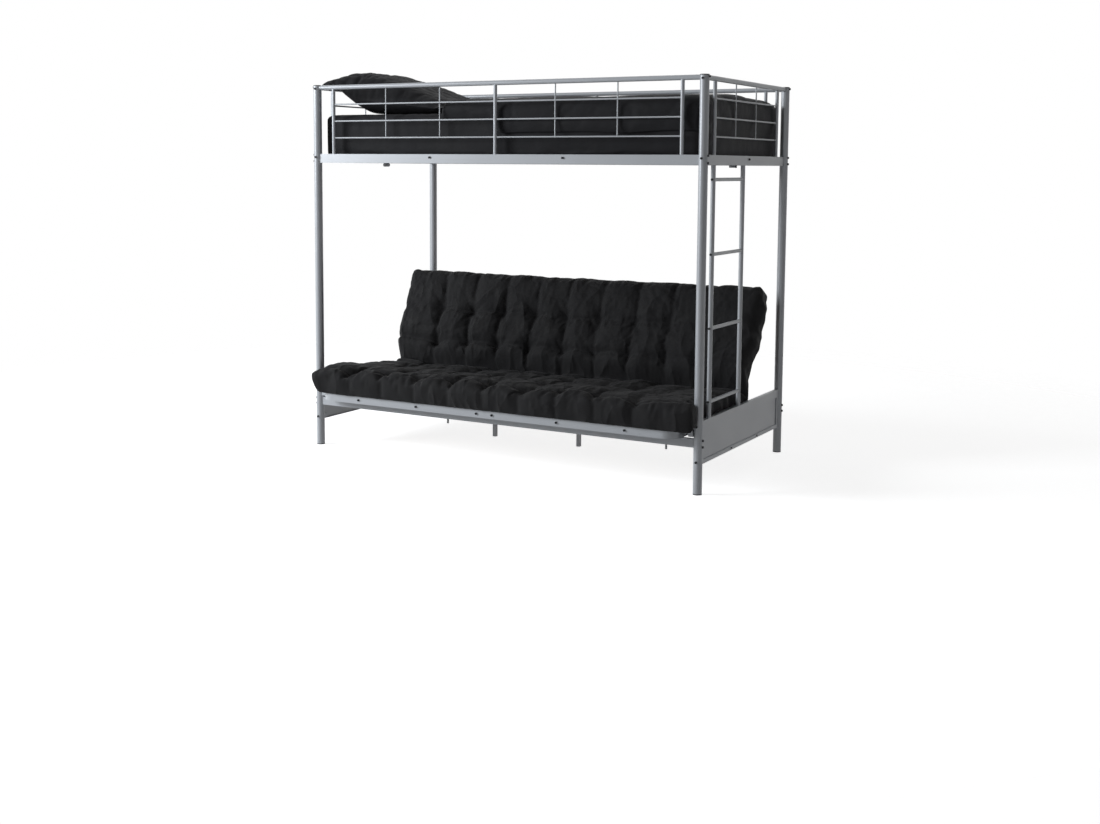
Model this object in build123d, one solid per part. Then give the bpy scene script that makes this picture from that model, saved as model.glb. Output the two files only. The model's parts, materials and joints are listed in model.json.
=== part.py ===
from build123d import *
import math
import os

os.makedirs("parts", exist_ok=True)

# Bunk frame: round steel posts on a rectangle, measured between post centres
post_pitch_x = 1960.0
post_pitch_y = 966.0
post_height = 1712.0
post_d = 38.0
post_wall = 1.5
post_joint_z = 370.0
sleeve_length = 160.0
sleeve_wall = 2.0
fit_clearance = 0.05
joint_gap = 0.2
soft_gap = 0.3
cut_overrun = 10.0

# Plastic caps at both ends of each post
cap_thickness = 4.0
foot_thickness = 4.0
foot_lip = 0.2
foot_plug_length = 22.0

# Socket head bolts
bolt_d = 6.0
bolt_hole_d = 6.4
thread_hole_d = 6.1
bolt_head_d = 10.0
bolt_head_h = 5.0
bolt_socket_across = 5.0
bolt_socket_depth = 3.0
bolt_grip = 12.0
end_plug_length = 20.0

# Upper bunk rails: box tubes with an inner ledge for the slats
rail_width = 16.0
rail_height = 41.0
rail_wall = 1.5
rail_drop = 362.0
ledge_reach = 10.0
ledge_thickness = 2.5
rail_bolt_high = 37.0
rail_bolt_low = 8.0
mid_bolt_height = 26.5
mid_bolt_share = 0.347
end_mid_bolt_y = 11.0

# Guard rails: a top tube, thick uprights, thin wires and pickets
guard_tube_d = 21.0
guard_tube_wall = 1.5
guard_tube_drop = 12.0
guard_bolt_high_offset = 2.5
guard_bolt_low_offset = -5.0
upright_d = 16.0
upright_wall = 1.5
upright_end_gap = 95.0
upright_side_gap = 111.0
wire_d = 7.0
wire_top_drop = 79.0
wire_pitch = 77.5
wire_count = 3
picket_d = 6.0
side_picket_shares = (-0.667, -0.333, 0.333, 0.667)
end_picket_shares = (-0.323, 0.323)

# One short bar under the front rail and one under the right-hand end rail, with dark end caps
side_bar_share = 0.598
side_bar_d = 16.0
end_bar_share = 0.306
end_bar_d = 10.0
bar_inner_reach = 12.0
bar_cap_thickness = 4.0
bar_cap_lip = 1.0

# Upper slats
upper_slat_count = 14
upper_slat_width = 60.0
upper_slat_height = 22.0
upper_slat_end_gap = 110.0

# Ladder on the right-hand end
ladder_front_y = -375.0
ladder_pitch_y = 335.0
stile_d = 20.0
stile_wall = 1.5
rung_d = 15.0
rung_wall = 1.5
rung_top_drop = 59.0
ladder_first_step = 67.0
rung_count = 4

# Lower end panels: a box tube over a pressed sheet tray
panel_tube_bottom_z = 268.0
panel_tube_height = 35.0
panel_tube_bolt_z = 284.0
panel_bottom_z = 122.0
panel_sheet = 1.5
panel_flange = 14.0
panel_inset = 4.0
panel_foot_lip = 17.0
panel_end_lip = 24.0
panel_bolt_z = 137.0
panel_screw_front_y = -131.0
panel_screw_rear_y = 182.0
panel_screw_d = 8.0
panel_screw_h = 3.0

# Long stretchers between the posts, below the seat
stretcher_bottom_z = 195.0
stretcher_height = 37.0
stretcher_bolt_high_z = 226.0
stretcher_bolt_low_z = 199.0

# Channels bolted inside the posts, in which the seat glides run
channel_wall = 2.0
channel_depth = 20.0
channel_overhang = 14.0
glide_d = 20.0
glide_clearance = 0.3
glide_width = 14.0
glide_front_reach = 290.0
glide_rear_reach = 50.0
glide_pin_d = 8.0
pin_head_d = 14.0
pin_head_h = 4.0

# Upper bedding
upper_mattress_end_gap = 30.0
upper_mattress_side_gap = 33.0
upper_mattress_thickness = 205.0
upper_mattress_round = 35.0
duvet_end_gap = 11.5
duvet_side_gap = 12.0
duvet_drop = 80.0
duvet_crown = 88.0
duvet_side = 48.0
duvet_round = 45.0
duvet_section_shares = (0.0, 0.06, 0.25, 0.5, 0.75, 0.94, 1.0)
duvet_height_shares = (0.6, 0.92, 1.0, 0.94, 1.0, 0.98, 0.9)
pillow_side_gap = 78.0
pillow_width = 510.0
pillow_overhang = 20.0
pillow_knee_reach = 110.0
pillow_peak_reach = 170.0
pillow_foot_reach = 215.0
pillow_end_reach = 670.0
pillow_rise = 197.0
pillow_rising_share = 0.8
pillow_falling_share = 0.65
pillow_knee_rise = 50.0
pillow_end_rise = 54.0
pillow_end_bulge = 12.0
pillow_tip_thickness = 8.0
pillow_saddle_reach = 30.0
pillow_section_shares = (0.0, 0.08, 0.3, 0.6, 0.88, 1.0)
pillow_height_shares = (0.35, 0.8, 1.0, 1.0, 0.8, 0.35)

# Sofa seat frame: angle iron with rounded front corners
seat_side_gap = 44.0
seat_front_setback = 29.0
seat_corner_r = 70.0
angle_height = 35.0
angle_flange = 28.0
angle_thickness = 3.0
seat_rail_bottom_z = 235.0
seat_joint_inset = 166.0
seat_plate_reach = 80.0
seat_plate_thickness = 3.0
seat_bolt_centre_x = 40.0
seat_bearer_share = 0.396
seat_bolt_corner_inset = 65.0
seat_rear_rail_reach = 20.0
seat_flange_reach = 15.0
bearer_width = 20.0
bearer_height = 24.0
bearer_wall = 1.5
beam_front_reach = 265.0
beam_rear_reach = 110.0
beam_width = 20.0
leg_share = 0.2475
leg_width = 17.0
leg_bottom_z = 50.0
rear_leg_share = 0.6543
rear_leg_d = 10.0

# Slats of the sofa
slat_count = 15
slat_width = 60.0
slat_height = 8.0
slat_end_setback = 14.0
slat_end_gap = 67.0

# Fold between seat and back
fold_angle = 66.0
hinge_pin_d = 10.0
hinge_head_d = 16.0
hinge_head_h = 4.0
hinge_washer_d = 20.0
hinge_washer_gap = 2.5
hinge_ear_reach = 17.0
back_rail_setback = 12.0
back_corner_r = 60.0
back_edge_setback = 25.0
back_flange_setback = 24.0

# Tufted mattress of the sofa, folded between seat and back
futon_overhang = 41.0
futon_front_y = -600.0
futon_seat_length = 760.0
futon_back_length = 540.0
futon_crown = 120.0
futon_ridge = 100.0
futon_tuft = 74.0
futon_fold_height = 62.0
futon_fold_swell = 7.0
futon_nose = 30.0
futon_end_draw = 24.0
tuft_pitch_share = 0.1905
tuft_columns = 9
seat_row_shares = (0.108, 0.371, 0.634, 0.897)
seat_height_shares = (0.64, 0.62, 0.76, 0.97)
back_row_shares = (0.219, 0.589)
back_height_shares = (0.94, 1.0)
bay_place_shares = (0.0, 0.2, 0.5, 0.8)
bay_swell_shares = (0.0, 0.8, 1.0, 0.8)
end_place_shares = (0.25, 0.6, 0.86, 1.0)
end_swell_shares = (0.8, 1.0, 0.7, 0.0)
end_height_shares = (1.0, 1.0, 0.9, 0.55)
end_draw_shares = (0.0, 0.1, 0.4, 1.0)

# Places that follow from the sizes above
half_x = post_pitch_x / 2
half_y = post_pitch_y / 2
post_r = post_d / 2
upright_x = half_x - upright_end_gap
upright_y = half_y - upright_side_gap
side_bar_x = side_bar_share * half_x
end_bar_y = end_bar_share * half_y
upper_slat_reach = half_x - upper_slat_end_gap
pillow_end_x = pillow_end_reach - half_x
seat_half_length = half_x - post_r - seat_side_gap
seat_joint_x = seat_half_length - seat_joint_inset
seat_bolt_corner_x = seat_joint_x - seat_bolt_corner_inset
seat_bolt_bearer_x = seat_bearer_share * seat_half_length
leg_x = leg_share * seat_half_length
rear_leg_x = rear_leg_share * seat_half_length
slat_reach = seat_half_length - slat_end_gap
futon_half_length = seat_half_length + futon_overhang
tuft_pitch_x = tuft_pitch_share * futon_half_length
rail_bottom_z = post_height - rail_drop
rail_top_z = rail_bottom_z + rail_height
mid_bolt_z = rail_bottom_z + mid_bolt_height
mid_bolt_x = mid_bolt_share * half_x
guard_tube_z = post_height - guard_tube_drop
wire_top_z = guard_tube_z - wire_top_drop
panel_tube_top_z = panel_tube_bottom_z + panel_tube_height
rung_top_z = rail_bottom_z - rung_top_drop
rung_pitch = (rung_top_z - panel_tube_top_z - ladder_first_step) / (rung_count - 1)
ledge_top_z = rail_bottom_z + ledge_thickness
mattress_bottom_z = ledge_top_z + upper_slat_height + soft_gap
mattress_top_z = mattress_bottom_z + upper_mattress_thickness
seat_rail_top_z = seat_rail_bottom_z + angle_height
deck_z = seat_rail_top_z + slat_height
pivot_z = seat_rail_bottom_z + angle_height / 2
futon_bottom_z = deck_z + soft_gap
panel_face_x = half_x + rail_width / 2
panel_screw_z = panel_bottom_z + panel_sheet + panel_screw_d
fold_y = futon_front_y + futon_seat_length
seat_front_y = futon_front_y + seat_front_setback
seat_rear_rail_y = fold_y - seat_rear_rail_reach
seat_flange_rear_y = fold_y - seat_flange_reach
beam_front_y = fold_y - beam_front_reach
beam_rear_y = fold_y - beam_rear_reach
glide_front_y = fold_y - glide_front_reach
glide_rear_y = fold_y - glide_rear_reach
half_fold_tan = math.tan(math.radians(fold_angle / 2))
pivot_y = fold_y + (futon_bottom_z - pivot_z) * half_fold_tan
back_start_y = 2 * pivot_y - fold_y
rear_reach = half_y + post_r + bolt_head_h
origin_shift_y = -(futon_front_y + rear_reach) / 2
post_corners = [(sx * half_x, sy * half_y) for sx in (-1, 1) for sy in (-1, 1)]
wire_heights = [wire_top_z - i * wire_pitch for i in range(wire_count)]


def block(x_span, y_span, z_span):
    """A box between two places on each axis."""
    sizes = [max(span) - min(span) for span in (x_span, y_span, z_span)]
    lows = [min(span) for span in (x_span, y_span, z_span)]
    return Pos(*lows) * Box(*sizes, align=(Align.MIN, Align.MIN, Align.MIN))


def rod(start, end, diameter):
    """A round bar from one point to another."""
    run = Vector(*end) - Vector(*start)
    lift = (Align.CENTER, Align.CENTER, Align.MIN)
    return Plane(origin=start, z_dir=run) * Cylinder(diameter / 2, run.length, align=lift)


def pipe(start, end, diameter, wall):
    """A round tube, open at both ends."""
    run = (Vector(*end) - Vector(*start)).normalized() * cut_overrun
    first = Vector(*start) - run
    last = Vector(*end) + run
    return rod(start, end, diameter) - rod(first, last, diameter - 2 * wall)


def spot(axis, along, across, z):
    """A point on a member that runs along X or along Y."""
    return (along, across, z) if axis == "x" else (across, along, z)


def member_box(axis, along, across, z):
    """A box on a member that runs along X or along Y, from its three spans."""
    return block(along, across, z) if axis == "x" else block(across, along, z)


def cope(shape):
    """Cut a member's ends round where they meet the posts."""
    reach = post_d + 2 * joint_gap
    for x, y in post_corners:
        shape = shape - rod((x, y, -cut_overrun), (x, y, post_height + cut_overrun), reach)
    return shape


def drill(shape, axis, along, across, z, diameter, length):
    """A hole along the member's own axis, centred on one place."""
    start = spot(axis, along - length / 2, across, z)
    end = spot(axis, along + length / 2, across, z)
    return shape - rod(start, end, diameter)


def bolt(seat_point, direction, length, diameter=bolt_d, head_d=bolt_head_d, head_h=bolt_head_h):
    """A socket head bolt: the head stands on the seat point, the shank runs along the direction."""
    seat = Vector(*seat_point)
    run = Vector(*direction).normalized()
    top = seat - run * head_h
    body = rod(top, seat, head_d)
    body += rod(seat, (seat + run * length), diameter)
    socket = RegularPolygon(bolt_socket_across / 2, 6, major_radius=False)
    socket = extrude(Plane(origin=top, z_dir=direction) * socket, bolt_socket_depth)
    return body - socket


def save(name, *pieces):
    """Write the solids of one sub-part, in the frame of the whole object."""
    shift = Location((0, origin_shift_y, 0))
    solids = [solid.moved(shift) for piece in pieces for solid in piece.solids()]
    shape = solids[0] if len(solids) == 1 else Compound(solids)
    export_step(shape, "parts/" + name + ".step")


def bolt_levels(axis):
    """Heights of the bolts that hold members running along X or along Y."""
    if axis == "x":
        guard = guard_tube_z + guard_bolt_high_offset
        rail_levels = (rail_bottom_z + rail_bolt_high, rail_bottom_z + rail_bolt_low)
        return (guard, *rail_levels, stretcher_bolt_high_z, stretcher_bolt_low_z)
    return (guard_tube_z + guard_bolt_low_offset, mid_bolt_z, panel_tube_bolt_z, panel_bolt_z)


def frame_bolts():
    """The bolts that pass through the posts into the ends of the members."""
    bolts = []
    for x, y in post_corners:
        for z in bolt_levels("x"):
            side = math.copysign(1, x)
            bolts.append(bolt((x + side * post_r, y, z), (-side, 0, 0), post_d + bolt_grip))
        for z in bolt_levels("y"):
            side = math.copysign(1, y)
            bolts.append(bolt((x, y + side * post_r, z), (0, -side, 0), post_d + bolt_grip))
    face_x = half_x + rail_width / 2
    face_y = half_y + rail_width / 2
    for side in (-1, 1):
        bolts.append(bolt((side * face_x, end_mid_bolt_y, mid_bolt_z), (-side, 0, 0), bolt_grip))
        for x in (-mid_bolt_x, mid_bolt_x):
            bolts.append(bolt((x, side * face_y, mid_bolt_z), (0, -side, 0), bolt_grip))
    return bolts


def drill_post(shape, x, y):
    """Clearance holes through a post for every bolt that crosses it."""
    for axis in ("x", "y"):
        along, across = (x, y) if axis == "x" else (y, x)
        for z in bolt_levels(axis):
            shape = drill(shape, axis, along, across, z, bolt_hole_d, post_d + 2 * cut_overrun)
    return shape


def posts():
    """Each post is a leg tube and an upper tube, held in line by an inner sleeve."""
    bore = post_d - 2 * post_wall
    sleeves, caps, feet = [], [], []
    names = {(-1, -1): "front_left", (1, -1): "front_right", (-1, 1): "rear_left", (1, 1): "rear_right"}
    for x, y in post_corners:
        name = names[(round(x / half_x), round(y / half_y))]
        cap_z = post_height - cap_thickness
        lower = pipe((x, y, foot_thickness), (x, y, post_joint_z - joint_gap / 2), post_d, post_wall)
        upper = pipe((x, y, post_joint_z + joint_gap / 2), (x, y, cap_z), post_d, post_wall)
        save("post_" + name + "_leg", drill_post(lower, x, y))
        save("post_" + name + "_upper", drill_post(upper, x, y))
        sleeve_low = post_joint_z - sleeve_length / 2
        sleeve_high = post_joint_z + sleeve_length / 2
        sleeves.append(pipe((x, y, sleeve_low), (x, y, sleeve_high), bore - 2 * fit_clearance, sleeve_wall))
        plug_d = bore - 2 * fit_clearance
        plug_z = guard_tube_z + guard_bolt_high_offset + bolt_hole_d / 2
        cap = rod((x, y, cap_z), (x, y, post_height), post_d)
        cap = fillet(cap.edges().group_by(Axis.Z)[-1], cap_thickness / 3)
        caps.append(cap + rod((x, y, plug_z), (x, y, cap_z), plug_d))
        foot = rod((x, y, 0), (x, y, foot_thickness), post_d + 2 * foot_lip)
        feet.append(foot + rod((x, y, foot_thickness), (x, y, foot_thickness + foot_plug_length), plug_d))
    save("post_sleeves", *sleeves)
    save("post_top_caps", *caps)
    save("foot_caps", *feet)


def guard_tube(axis, half, across):
    """A guard's top tube, plugged at both ends for its bolts."""
    start = spot(axis, -half, across, guard_tube_z)
    end = spot(axis, half, across, guard_tube_z)
    solid_end = half - post_r - end_plug_length
    tube = rod(start, end, guard_tube_d)
    core_start = spot(axis, -solid_end, across, guard_tube_z)
    core_end = spot(axis, solid_end, across, guard_tube_z)
    tube = cope(tube - rod(core_start, core_end, guard_tube_d - 2 * guard_tube_wall))
    offset = guard_bolt_high_offset if axis == "x" else guard_bolt_low_offset
    depth = end_plug_length + cut_overrun
    for side in (-1, 1):
        place = side * (half - post_r - end_plug_length / 2)
        tube = drill(tube, axis, place, across, guard_tube_z + offset, thread_hole_d, depth)
    return tube


def guard_bars(axis, across, uprights, pickets):
    """The uprights, horizontal wires and pickets under a guard's top tube."""
    tube_start = spot(axis, -post_pitch_x, across, guard_tube_z)
    tube_end = spot(axis, post_pitch_x, across, guard_tube_z)
    seat = rod(tube_start, tube_end, guard_tube_d + 2 * joint_gap)
    bars = []
    for place in uprights:
        foot = spot(axis, place, across, rail_top_z + joint_gap)
        head = spot(axis, place, across, guard_tube_z)
        bars.append(pipe(foot, head, upright_d, upright_wall) - seat)
    gap = upright_d / 2 + joint_gap
    for z in wire_heights:
        for left, right in zip(uprights, uprights[1:]):
            bars.append(rod(spot(axis, left + gap, across, z), spot(axis, right - gap, across, z), wire_d))
    inward = -math.copysign((wire_d + picket_d) / 2 + joint_gap, across)
    for place in pickets:
        foot = spot(axis, place, across + inward, wire_heights[-1] - wire_d / 2)
        head = spot(axis, place, across + inward, guard_tube_z)
        bars.append(rod(foot, head, picket_d) - seat)
    return bars


def guards():
    """The four guards round the upper bunk."""
    side_uprights = (-upright_x, 0, upright_x)
    end_uprights = (-upright_y, upright_y)
    side_pickets = [share * upright_x for share in side_picket_shares]
    end_pickets = [share * upright_y for share in end_picket_shares]
    for name, side in (("front", -1), ("rear", 1)):
        save("guard_" + name + "_tube", guard_tube("x", half_x, side * half_y))
        save("guard_" + name + "_bars", *guard_bars("x", side * half_y, side_uprights, side_pickets))
    for name, side in (("left", -1), ("right", 1)):
        save("guard_" + name + "_tube", guard_tube("y", half_y, side * half_x))
        save("guard_" + name + "_bars", *guard_bars("y", side * half_x, end_uprights, end_pickets))


def box_rail(axis, half, across, bottom, height, bolt_heights):
    """A box tube between two posts, plugged and threaded at its ends."""
    spread = rail_width / 2
    rail = member_box(axis, (-half, half), (across - spread, across + spread), (bottom, bottom + height))
    core = half - post_r - end_plug_length
    inner = spread - rail_wall
    hollow = (bottom + rail_wall, bottom + height - rail_wall)
    rail -= member_box(axis, (-core, core), (across - inner, across + inner), hollow)
    rail = cope(rail)
    for side in (-1, 1):
        place = side * (half - post_r - end_plug_length / 2)
        for z in bolt_heights:
            rail = drill(rail, axis, place, across, z, thread_hole_d, end_plug_length + cut_overrun)
    return rail


def upper_rails():
    """Side rails with a ledge for the slats, and plain end rails."""
    levels = (rail_bottom_z + rail_bolt_high, rail_bottom_z + rail_bolt_low)
    for name, side in (("front", -1), ("rear", 1)):
        across = side * half_y
        rail = box_rail("x", half_x, across, rail_bottom_z, rail_height, levels)
        for x in (-mid_bolt_x, mid_bolt_x):
            rail = drill(rail, "y", across + side * rail_width / 2, x, mid_bolt_z, thread_hole_d, rail_width)
        inner_face = across - side * rail_width / 2
        ledge_edge = inner_face - side * ledge_reach
        ledge_half = half_x - rail_width / 2 - joint_gap
        ledge = block((-ledge_half, ledge_half), (inner_face, ledge_edge), (rail_bottom_z, ledge_top_z))
        save("upper_rail_" + name, rail + cope(ledge))
    for name, side in (("left", -1), ("right", 1)):
        rail = box_rail("y", half_y, side * half_x, rail_bottom_z, rail_height, (mid_bolt_z,))
        face_x = side * (half_x + rail_width / 2)
        rail = drill(rail, "x", face_x, end_mid_bolt_y, mid_bolt_z, thread_hole_d, rail_width)
        save("upper_rail_" + name, rail)


def upper_slats():
    """Slats that lie on the ledges of the side rails."""
    half_slat = half_y - rail_width / 2 - joint_gap
    z_span = (ledge_top_z, ledge_top_z + upper_slat_height)
    pitch = (2 * upper_slat_reach - upper_slat_width) / (upper_slat_count - 1)
    slats = []
    for i in range(upper_slat_count):
        low = -upper_slat_reach + i * pitch
        slats.append(block((low, low + upper_slat_width), (-half_slat, half_slat), z_span))
    save("upper_slats", *slats)


def short_bar(axis, side, along, across, diameter, cap_d):
    """A short bar under a rail, flush with its outer face, and the cap on its outer end."""
    z = rail_bottom_z - diameter / 2 - joint_gap
    inner = side * (along - rail_width / 2 - bar_inner_reach)
    outer = side * (along + rail_width / 2)
    cap = side * (along + rail_width / 2 + bar_cap_thickness)
    bar = rod(spot(axis, inner, across, z), spot(axis, outer, across, z), diameter)
    return bar, rod(spot(axis, outer, across, z), spot(axis, cap, across, z), cap_d)


def short_bars():
    """The short bars welded under the front rail and the right-hand end rail."""
    end_cap_d = end_bar_d + 2 * bar_cap_lip
    side_bar, side_cap = short_bar("y", -1, half_y, -side_bar_x, side_bar_d, side_bar_d)
    end_bar, end_cap = short_bar("x", 1, half_x, -end_bar_y, end_bar_d, end_cap_d)
    save("upper_support_bars", side_bar, end_bar)
    save("bar_end_caps", side_cap, end_cap)


def ladder():
    """Two stiles between the end rail and the end panel, with rungs bolted between them."""
    top = rail_bottom_z - joint_gap
    bottom = panel_tube_top_z + joint_gap
    stile_r = stile_d / 2
    rear_y = ladder_front_y + ladder_pitch_y
    rung_heights = [rung_top_z - i * rung_pitch for i in range(rung_count)]
    stiles, rungs, bolts = [], [], []
    for y in (ladder_front_y, rear_y):
        stile = pipe((half_x, y, bottom), (half_x, y, top), stile_d, stile_wall)
        for z in rung_heights:
            stile = drill(stile, "y", y, half_x, z, bolt_hole_d, stile_d + cut_overrun)
        stiles.append(stile)
    core_front = ladder_front_y + stile_r + end_plug_length
    core_rear = rear_y - stile_r - end_plug_length
    thread_reach = 2 * (stile_r + end_plug_length) + cut_overrun
    for z in rung_heights:
        rung = rod((half_x, ladder_front_y, z), (half_x, rear_y, z), rung_d)
        rung -= rod((half_x, core_front, z), (half_x, core_rear, z), rung_d - 2 * rung_wall)
        for y in (ladder_front_y, rear_y):
            rung -= rod((half_x, y, z - post_d), (half_x, y, z + post_d), stile_d + 2 * joint_gap)
            rung = drill(rung, "y", y, half_x, z, thread_hole_d, thread_reach)
        rungs.append(rung)
        bolts.append(bolt((half_x, ladder_front_y - stile_r, z), (0, 1, 0), stile_d + bolt_grip))
        bolts.append(bolt((half_x, rear_y + stile_r, z), (0, -1, 0), stile_d + bolt_grip))
    save("ladder_stiles", *stiles)
    save("ladder_rungs", *rungs)
    save("ladder_bolts", *bolts)


def end_panels():
    """Each end has a box tube with a pressed sheet tray below it, its face set back inside a lip."""
    tray_top = panel_tube_bottom_z - joint_gap
    tray_half = half_y - post_r - joint_gap
    pocket_y = tray_half - end_plug_length
    lip_y = tray_half - panel_end_lip
    low = panel_bottom_z + panel_sheet
    high = tray_top - panel_sheet
    corner_top = panel_bolt_z + end_plug_length / 2
    for name, side in (("left", -1), ("right", 1)):
        x = side * half_x
        tube = box_rail("y", half_y, x, panel_tube_bottom_z, panel_tube_height, (panel_tube_bolt_z,))
        save("panel_tube_" + name, tube)
        outer = side * panel_face_x
        inner = outer - side * panel_flange
        face = outer - side * panel_inset
        inset_x = (outer + side * cut_overrun, face)
        pocket_x = (face - side * panel_sheet, inner - side * cut_overrun)
        tray = block((outer, inner), (-tray_half, tray_half), (panel_bottom_z, tray_top))
        tray -= block(inset_x, (-lip_y, lip_y), (panel_bottom_z + panel_foot_lip, tray_top + cut_overrun))
        tray -= block(pocket_x, (-pocket_y, pocket_y), (low, high))
        for end in (-1, 1):
            end_span = (end * (tray_half - panel_sheet), end * pocket_y)
            tray -= block(pocket_x, end_span, (corner_top, high))
            place = end * (tray_half - end_plug_length / 2)
            tray = drill(tray, "y", place, x, panel_bolt_z, thread_hole_d, end_plug_length + cut_overrun)
        for y in (panel_screw_front_y, panel_screw_rear_y):
            tray = drill(tray, "x", outer, y, panel_screw_z, thread_hole_d, 2 * cut_overrun)
        save("end_panel_" + name, tray)


def panel_screws():
    """Screws along the foot of each end panel."""
    screws = []
    for side in (-1, 1):
        for y in (panel_screw_front_y, panel_screw_rear_y):
            face = (side * panel_face_x, y, panel_screw_z)
            screws.append(bolt(face, (-side, 0, 0), bolt_grip, head_d=panel_screw_d, head_h=panel_screw_h))
    return screws


def stretchers():
    """Front and rear box tubes between the posts, under the seat."""
    levels = (stretcher_bolt_high_z, stretcher_bolt_low_z)
    for name, side in (("front", -1), ("rear", 1)):
        y = side * half_y
        save("stretcher_" + name, box_rail("x", half_x, y, stretcher_bottom_z, stretcher_height, levels))


def guide_channels():
    """Channels on the inner side of the posts, open towards the seat."""
    slot_half = glide_d / 2 + glide_clearance
    half_length = half_y + channel_overhang
    channels = []
    for side in (-1, 1):
        outer = side * (half_x - post_r - joint_gap)
        inner = outer - side * channel_depth
        high = pivot_z + slot_half + channel_wall
        low = pivot_z - slot_half - channel_wall
        channel = block((outer, inner), (-half_length, half_length), (low, high))
        slot_x = (outer - side * channel_wall, inner - side * cut_overrun)
        stop = half_length - channel_wall
        channels.append(channel - block(slot_x, (-stop, stop), (pivot_z - slot_half, pivot_z + slot_half)))
    save("guide_channels", *channels)


def rounded_plan(half_length, front, rear, inset, radius, z_span):
    """A plate with two rounded front corners, drawn in from its outline by an inset."""
    near = front + inset if front < rear else front - inset
    plate = block((-half_length + inset, half_length - inset), (near, rear), z_span)
    corners = plate.edges().filter_by(Axis.Z).group_by(Axis.Y)
    chosen = corners[0] if front < rear else corners[-1]
    return fillet(chosen, radius - inset)


def angle_frame(half_length, front, plate_end, flange_end, radius):
    """An angle iron bent into a U: an upright plate and a flange along its top."""
    low = seat_rail_bottom_z
    high = seat_rail_top_z
    flange_low = high - angle_thickness
    through = (low - cut_overrun, high + cut_overrun)
    frame = rounded_plan(half_length, front, plate_end, 0, radius, (low, high))
    frame -= rounded_plan(half_length, front, plate_end, angle_thickness, radius, through)
    flange = rounded_plan(half_length, front, flange_end, 0, radius, (flange_low, high))
    flange -= rounded_plan(half_length, front, flange_end, angle_flange, radius, through)
    return frame + flange


def slice_x(shape, x_span):
    """The part of a shape between two places along X."""
    return shape & block(x_span, (-post_pitch_y, post_pitch_y), (0, post_height))


def seat_bolt_line(diameter):
    """Rods along the seat's front bolts, used to drill the rails and plates."""
    places = (seat_bolt_centre_x, seat_bolt_bearer_x, seat_bolt_corner_x)
    back = seat_front_y + end_plug_length + angle_thickness
    return [rod((side * x, seat_front_y - cut_overrun, pivot_z), (side * x, back, pivot_z), diameter)
            for side in (-1, 1) for x in places]


def drill_all(shape, cutters):
    """Cut every rod of a list from a shape."""
    for cutter in cutters:
        shape = shape - cutter
    return shape


def seat_rails():
    """Front rail in two halves, and side rails that carry the rounded corners."""
    ear_end = pivot_y + hinge_ear_reach
    whole = angle_frame(seat_half_length, seat_front_y, ear_end, seat_flange_rear_y, seat_corner_r)
    whole = drill_all(whole, seat_bolt_line(bolt_hole_d))
    for side in (-1, 1):
        for y in (glide_front_y, glide_rear_y):
            whole = drill(whole, "x", side * seat_half_length, y, pivot_z, glide_pin_d + 2 * fit_clearance,
                          2 * cut_overrun)
        whole = drill(whole, "x", side * seat_half_length, pivot_y, pivot_z, hinge_pin_d + 2 * fit_clearance,
                      2 * cut_overrun)
    gap = joint_gap / 2
    save("seat_front_rail_left", slice_x(whole, (-seat_joint_x + gap, -gap)))
    save("seat_front_rail_right", slice_x(whole, (gap, seat_joint_x - gap)))
    save("seat_side_left", slice_x(whole, (-post_pitch_x, -seat_joint_x - gap)))
    save("seat_side_right", slice_x(whole, (seat_joint_x + gap, post_pitch_x)))


def seat_plates():
    """Plates behind the front rail that join its halves and its corner pieces."""
    face = seat_front_y + angle_thickness + joint_gap
    y_span = (face, face + seat_plate_thickness)
    z_span = (seat_rail_bottom_z, seat_rail_top_z - angle_thickness - joint_gap)
    plates = [block((-seat_plate_reach, seat_plate_reach), y_span, z_span)]
    corner_limit = seat_half_length - seat_corner_r
    for side in (-1, 1):
        inner_end = seat_joint_x - seat_plate_reach - bolt_head_d
        plates.append(block((side * inner_end, side * corner_limit), y_span, z_span))
    cutters = seat_bolt_line(thread_hole_d)
    save("seat_joint_plates", *[drill_all(plate, cutters) for plate in plates])


def seat_rear_rail():
    """Angle iron between the side rails, in front of the fold."""
    half = seat_half_length - angle_thickness - joint_gap
    flange_clear = half - angle_flange
    rear = seat_rear_rail_y
    low = seat_rail_bottom_z
    under_flange = seat_rail_top_z - angle_thickness - joint_gap
    rail = block((-half, half), (rear - angle_thickness, rear), (low, under_flange))
    rail += block((-flange_clear, flange_clear), (rear - angle_thickness, rear), (low, seat_rail_top_z))
    rail += block((-flange_clear, flange_clear), (rear - angle_flange, rear),
                  (seat_rail_top_z - angle_thickness, seat_rail_top_z))
    return rail


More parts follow.
